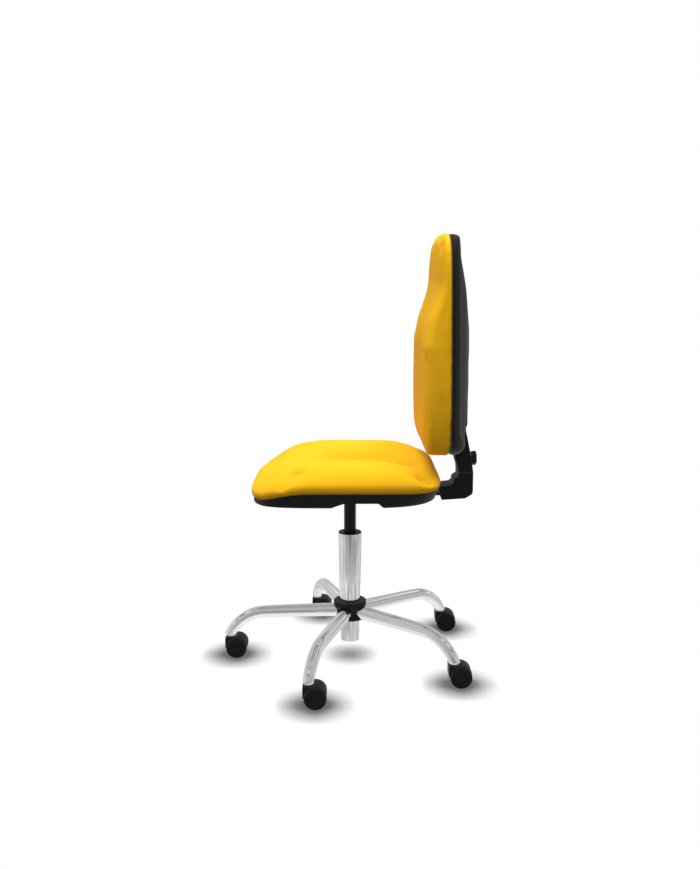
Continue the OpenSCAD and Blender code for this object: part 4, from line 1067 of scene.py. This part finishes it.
def back_edge(u, count):
    """Wall between the seam and the widest line."""
    share = mix(BACK_SEAM_SHARE, 1, sin(u * pi / 2))
    out = []
    for t in turns(count):
        x, z = back_point(share, t)
        thick = mix(BACK_PAD, BACK_PAD_TOP, shoulder(z))
        out.append((x, BACK_SEAM_Y - mix(GAP, thick * BACK_SIDE_SHARE, u), z))
    return out


def back_cushion():
    count = 176
    flat = [(x, BACK_SEAM_Y - GAP, z) for x, z in (back_point(BACK_BOARD_SHARE, t) for t in turns(count))]
    rings = [flat] + [back_edge(u, count) for u in np.linspace(0, 1, 7)[:-1]]
    rings += [[back_front(cos(a) ** 0.5, t) for t in turns(count)]
              for a in np.linspace(0, pi / 2 - 0.01, 46)]
    pad = ringed("back_pad", rings, (0, BACK_SEAM_Y - GAP, BACK_MID), back_front(0, 0))
    stuff(pad, lambda v: v.y > BACK_SEAM_Y - HELD_H, BACK_SWELL)
    stand_for(pad, "back_cushion")


def rear_ring(k, inset, count):
    out = []
    for t in turns(count):
        e = abs(sin(t)) ** 3
        end = spline(REAR_TOP_SHARES if sin(t) > 0 else REAR_BOTTOM_SHARES, k)
        depth = BACK_SHELL_D * mix(spline(REAR_SIDE_SHARES, k), end, e)
        x, z = back_point(spline(REAR_RING_SHARES, k) - inset / BACK_HALF_W, t)
        out.append((x, BACK_SEAM_Y + GAP + max(0, depth - inset), z))
    return out


def back_shell():
    count = 240
    places = [k / 5 for k in range(5 * (len(REAR_RING_SHARES) - 1) + 1)]
    rings = [rear_ring(k, 0, count) for k in reversed(places)]
    rings += [rear_ring(k, SHELL_WALL, count) for k in places]
    rear = BACK_SEAM_Y + GAP + BACK_SHELL_D
    shell = ringed("back_shell_shape", rings, (0, rear, BACK_MID), (0, rear - SHELL_WALL, BACK_MID))
    half = COVER_HALF_W + GAP
    inside = CARRIAGE_REAR + 2 * GAP
    unite(shell, spine(inside))
    front = BACK_SEAM_Y + SLOT_FRONT
    cut(shell, box("slot", (-half, front, BACK_BOTTOM - BACK_SHELL_D), (half, rear + BACK_SHELL_D, SLOT_TOP)),
        box("inside", (-half, front, BACK_BOTTOM), (half, inside, CARRIAGE_TOP + 2 * GAP)))
    soften(shell, 0.0007, 2, radians(50))
    stand_for(shell, "back_shell")


def spine(inside):
    """Raised spine of the shell over the carriage."""
    front, rear = BACK_SEAM_Y + SPINE_FRONT, inside + SHELL_WALL
    low, high = SLOT_TOP - SPINE_BELOW, CARRIAGE_TOP + 2 * GAP + SHELL_WALL
    outline = rounded([
        (front, low, 0.0), (rear - SPINE_SLOPE, low, 0.003), (rear, low + 2 * SPINE_SLOPE, 0.008),
        (rear, high - SPINE_SLOPE, 0.005), (rear - SPINE_SLOPE, high, 0.003), (front, high, 0.0)], 0.003, 6)
    return slab("spine", outline, COVER_HALF_W + GAP + SHELL_WALL, 0.002, 4)


# Back arm

def bar_outline(c, front, top):
    """Side outline of the steel L-bar, grown by a clearance c."""
    bend_y, bend_z = BAR_Y - BAR_BEND, BAR_Z + BAR_T + BAR_BEND
    arc = np.linspace(-pi / 2, 0, 9)

    def corner(r, angles):
        return [(bend_y + r * cos(a), bend_z + r * sin(a)) for a in angles]
    return ([(front, BAR_Z - c)] + corner(BAR_BEND + BAR_T + c, arc)
            + [(BAR_Y + BAR_T + c, top), (BAR_Y - c, top)]
            + corner(BAR_BEND - c, arc[::-1]) + [(front, BAR_Z + BAR_T + c)])


def arm_cover():
    """Moulded elbow round the bar's bend, with the rounded lump in its inner corner."""
    cover = moulded("arm_cover_shape", [
        (COVER_TIP + 0.009, COVER_BOTTOM - 0.0015, 0.002), (COVER_REAR - 0.018, COVER_BOTTOM + 0.0025, 0.010),
        (COVER_REAR, COVER_BOTTOM + 0.0135, 0.012), (COVER_REAR, COVER_JOINT, 0.0008),
        (COVER_FRONT, COVER_JOINT, 0.0008), (COVER_FRONT, COVER_JOINT - 0.010, 0.003),
        (LUMP_Y + 0.0055, LUMP_Z + 0.0060, 0.003), (LUMP_Y, LUMP_Z, 0.003),
        (LUMP_Y - 0.0003, LUMP_Z - 0.0075, 0.003), (LUMP_Y - 0.0065, COVER_TOP + 0.0035, 0.003),
        (COVER_TIP, COVER_TOP, 0.002), (COVER_TIP + 0.0025, COVER_TOP - 0.010, 0.006)],
        COVER_HALF_W, 0.003, 4)
    path = bar_outline(GAP, COVER_TIP - CUTTER_PAST, COVER_JOINT + CUTTER_PAST)
    cut(cover, slab("channel", path, BAR_HALF_W + GAP))
    soften(cover, 0.0006, 2, radians(50))
    stand_for(cover, "back_arm_cover")


def back_carriage():
    """Upper cover that slides on the bar, with its neck and bolting flange inside the back shell."""
    joint, neck, top = COVER_JOINT + GAP, KNOB_Z + 0.005, SLOT_TOP - 0.005
    cover = moulded("carriage_shape", [
        (COVER_FRONT, joint, 0.0006), (COVER_FRONT - 0.0013, COVER_JOINT + 0.013, 0.006),
        (CARRIAGE_FRONT, neck, 0.006), (CARRIAGE_FRONT, top, 0.002), (CARRIAGE_REAR + 0.001, top, 0.002),
        (CARRIAGE_REAR + 0.0015, top - 0.030, 0.02), (COVER_REAR - 0.005, neck, 0.02),
        (COVER_REAR, joint, 0.0006)], COVER_HALF_W, 0.003, 4)
    block = box("block", (-COVER_HALF_W, BLOCK_FRONT, BLOCK_BOTTOM),
                (COVER_HALF_W, CARRIAGE_REAR, CARRIAGE_TOP))
    soften(block, 0.0015, 2)
    flange = box("flange", (-FLANGE_HALF_W, FLANGE_FRONT, SLOT_TOP),
                 (FLANGE_HALF_W, FLANGE_REAR, CARRIAGE_TOP))
    soften(flange, 0.001, 2)
    unite(cover, block, flange)
    half, past = BAR_HALF_W + GAP, KNOB_START + KNOB_R
    tools = [box("channel", (-half, BAR_Y - GAP, COVER_JOINT - CUTTER_PAST),
                 (half, BAR_Y + BAR_T + GAP, CARRIAGE_TOP + CUTTER_PAST)),
             rod("stud", (0, BAR_Y, KNOB_Z), (0, past, KNOB_Z), STUD_R + FIT, 40),
             rod("face", (0, KNOB_START - GAP, KNOB_Z), (0, past, KNOB_Z), KNOB_R + 2 * GAP, 64)]
    tools += [rod("bolt", (s * BACK_BOLT_X, BACK_SEAM_Y, z), (s * BACK_BOLT_X, BAR_Y, z), BACK_BOLT_R, 32)
              for s in (-1, 1) for z in BACK_BOLT_ZS]
    cut(cover, *tools)
    soften(cover, 0.0005, 2, radians(50))
    stand_for(cover, "back_carriage")


def height_knob():
    """Lobed clamp knob with a domed face, on its stud."""
    count = 144
    length = KNOB_END - KNOB_START
    profile = rounded([(0.0, 0.0), (KNOB_FOOT_R, 0.0), (KNOB_R, length - 0.003), (KNOB_FACE_R, length),
                       (0.0, length)], 0.0022, 6)
    rings = []
    for r, h in profile[6:-6]:
        ring = []
        for t in turns(count):
            dip = KNOB_LOBE_D * (0.5 + 0.5 * cos(KNOB_LOBES * t)) ** 2 * min(1, r / 0.012) ** 3
            ring.append(((r - dip) * cos(t), KNOB_START + h, KNOB_Z + (r - dip) * sin(t)))
        rings.append(ring)
    knob = ringed("knob_shape", rings, (0, KNOB_START, KNOB_Z), (0, KNOB_END, KNOB_Z))
    join(knob, rod("stud", (0, BAR_Y + BAR_T + GAP, KNOB_Z), (0, KNOB_START + 0.002, KNOB_Z), STUD_R, 40))
    stand_for(knob, "back_height_knob")


def round_edges():
    """Pressed, forged and moulded pieces whose CAD shape is right apart from its sharp edges."""
    for node, width in (("mechanism_housing", 0.0008), ("height_lever", 0.0012), ("tilt_lock_lever", 0.0012),
                        ("back_arm_bar", 0.0006)):
        stand_for(soft_copy(node, width), node)


# Stage

LAMP_AT = (0.05, -0.1, 2.6)
LAMP_AIM = (0, 0, 0.5)
LAMP_SIZE = 1.8
LAMP_POWER = 39


def lamp():
    """Soft disc overhead, which metal doesn't mirror."""
    data = bpy.data.lights.new("overhead", "AREA")
    data.shape = "DISK"
    data.size = LAMP_SIZE
    data.energy = LAMP_POWER
    obj = bpy.data.objects.new("overhead", data)
    obj.location = LAMP_AT
    obj.rotation_euler = (Vector(LAMP_AIM) - Vector(LAMP_AT)).to_track_quat("-Z", "Y").to_euler()
    obj.visible_glossy = False
    bpy.context.collection.objects.link(obj)


# Floor and the contact shadows painted on it
FLOOR_HALF = 40.0
SHADOW_REACH = 0.068
SHADOW_POWER = 7.0
SHADOW_DARKEST = 0.15


def floor():
    """White floor that shows only soft contact shadows, painted by ambient occlusion into the colour the
    camera sees.
    """
    corners = [(x * FLOOR_HALF, y * FLOOR_HALF, 0) for x, y in ((-1, -1), (1, -1), (1, 1), (-1, 1))]
    sheet = new_object("floor", corners, [(0, 1, 2, 3)])
    mat, tree, shader, _ = material("floor_white", (0.18, 0.18, 0.18), 0.9)
    # Painted contact shadow: ambient occlusion darkens the white emission the camera sees
    near = add(tree, "AmbientOcclusion", Distance=SHADOW_REACH, samples=32)
    deep = math_node(tree, "POWER", near.outputs["AO"], SHADOW_POWER)
    painted_shadow = add(tree, "MapRange", To_Min=SHADOW_DARKEST, To_Max=1.0)
    tree.links.new(deep, painted_shadow.inputs["Value"])
    white = add(tree, "Emission")
    tree.links.new(painted_shadow.outputs["Result"], white.inputs["Color"])
    clear = add(tree, "BsdfTransparent")
    path = add(tree, "LightPath")
    seen = mix_shader(tree, path.outputs["Is Camera Ray"], shader.outputs[0], white.outputs[0])
    mirrored = mix_shader(tree, path.outputs["Is Glossy Ray"], seen, clear.outputs[0])
    tree.links.new(mirrored, tree.nodes["Material Output"].inputs["Surface"])
    sheet.data.materials.append(mat)


# Brightness of the sky for matt things: at the horizon, and its rise to the zenith
SKY_LOW = 0.04
SKY_RISE = 2.1
SKY_POWER = 1.5
# Heights between which the mirrored band at eye level ends, and the streaks in what metal mirrors
BAND_END = (0.22, 0.4)
STREAK_SCALE = (2.2, 2.2, 13.0)
STREAK_GAIN = (0.68, 1.3)
# What metal mirrors at eye level, once round from the rear, and from the floor up to the zenith
AROUND = [(0.0, 0.6), (0.17, 0.72), (0.25, 0.87), (0.33, 0.66), (0.40, 0.48), (0.475, 0.36), (0.512, 0.27),
          (0.54, 0.42), (0.67, 0.47), (0.75, 0.6), (0.83, 0.8), (0.92, 0.52), (1.0, 0.6)]
UPWARD = [(0.0, 1.0), (0.16, 0.92), (0.26, 0.6), (0.32, 0.85), (0.40, 0.4), (0.47, 0.3), (0.52, 0.75),
          (0.57, 0.4), (0.64, 0.45), (0.68, 0.92), (0.72, 0.34), (0.76, 0.66), (0.80, 0.28), (0.84, 0.6),
          (0.87, 0.95), (0.90, 0.34), (0.94, 0.7), (0.97, 0.28), (1.0, 0.55)]


def ramp(tree, source, stops):
    """Brightness by place along a line of (place, brightness) stops."""
    node = add(tree, "ValToRGB")
    tree.links.new(source, node.inputs["Fac"])
    line = node.color_ramp.elements
    while len(line) < len(stops):
        line.new(0.5)
    for element, (place, tone) in zip(line, stops):
        element.position = place
        element.color = (tone, tone, tone, 1)
    return node.outputs["Color"]


def world():
    """White surround for the camera, a banded studio for metal, soft light from above for all else."""
    place = bpy.data.worlds.new("studio")
    bpy.context.scene.world = place
    place.use_nodes = True
    tree = place.node_tree
    back = tree.nodes["Background"]
    coords = add(tree, "TexCoord")
    x, y, z = axes(tree, coords, "Generated")
    height = math_node(tree, "MAXIMUM", z, 0.0)
    rise = times(tree, math_node(tree, "POWER", height, SKY_POWER), SKY_RISE)
    light = plus(tree, rise, SKY_LOW)
    angle = math_node(tree, "DIVIDE", math_node(tree, "ARCTAN2", y, x), 2 * pi)
    turn = plus(tree, angle, 0.5)
    level = plus(tree, times(tree, z, 0.5), 0.5)
    flat = add(tree, "MapRange", From_Min=BAND_END[0], From_Max=BAND_END[1],
               To_Min=1.0, To_Max=0.0)
    tree.links.new(math_node(tree, "ABSOLUTE", z), flat.inputs["Value"])
    both = mix_node(tree, flat.outputs["Result"], ramp(tree, level, UPWARD), ramp(tree, turn, AROUND))
    squeeze = add(tree, "Mapping", [("Vector", coords, "Generated")], Scale=STREAK_SCALE)
    streaks = add(tree, "TexNoise", [("Vector", squeeze, "Vector")], Scale=1.0, Detail=3.0)
    gain = add(tree, "MapRange", [("Value", streaks, "Fac")], From_Min=0.3, From_Max=0.7,
               To_Min=STREAK_GAIN[0], To_Max=STREAK_GAIN[1])
    studio = times(tree, both, gain.outputs["Result"])
    path = add(tree, "LightPath")
    glossy = mix_node(tree, path.outputs["Is Glossy Ray"], light, studio)
    tree.links.new(mix_node(tree, path.outputs["Is Camera Ray"], glossy, 1.0), back.inputs["Color"])


# Camera, solved from the photograph
CAMERA_AT = (2.2, 0, 0.93)
CAMERA_DOWN = 9.66
CAMERA_LENS = 38.6


def camera():
    """At the photograph's place: level with the back's upper half, to the sitter's left, tilted down."""
    data = bpy.data.cameras.new("camera")
    data.sensor_width = 36
    data.lens = CAMERA_LENS
    obj = bpy.data.objects.new("camera", data)
    obj.location = CAMERA_AT
    obj.rotation_euler = (radians(90 - CAMERA_DOWN), 0, radians(90))
    bpy.context.collection.objects.link(obj)
    bpy.context.scene.camera = obj


# The photograph's chrome mirrors hardly anything of these pieces
UNMIRRORED = ("seat", "back", "arm", "carriage", "mechanism", "castor", "wheel")

camera()
world()
floor()
lamp()
for name, obj in frame["nodes"].items():
    obj.data.materials.clear()
    obj.data.materials.append(FINISHES[SLOTS[name]])
for index in range(LEG_COUNT):
    leg(index)
    castor_hood(index)
    wheel(index, 1, f"wheel_left_{index + 1}")
    wheel(index, -1, f"wheel_right_{index + 1}")
hub_cover()
column_tube()
column_bush()
gas_column()
seat_shell()
seat_cushion()
back_shell()
back_cushion()
arm_cover()
back_carriage()
height_knob()
round_edges()
for obj in bpy.context.scene.objects:
    if obj.type == "MESH" and obj.name.startswith(UNMIRRORED):
        obj.visible_glossy = False
bpy.context.scene.view_settings.view_transform = "Standard"
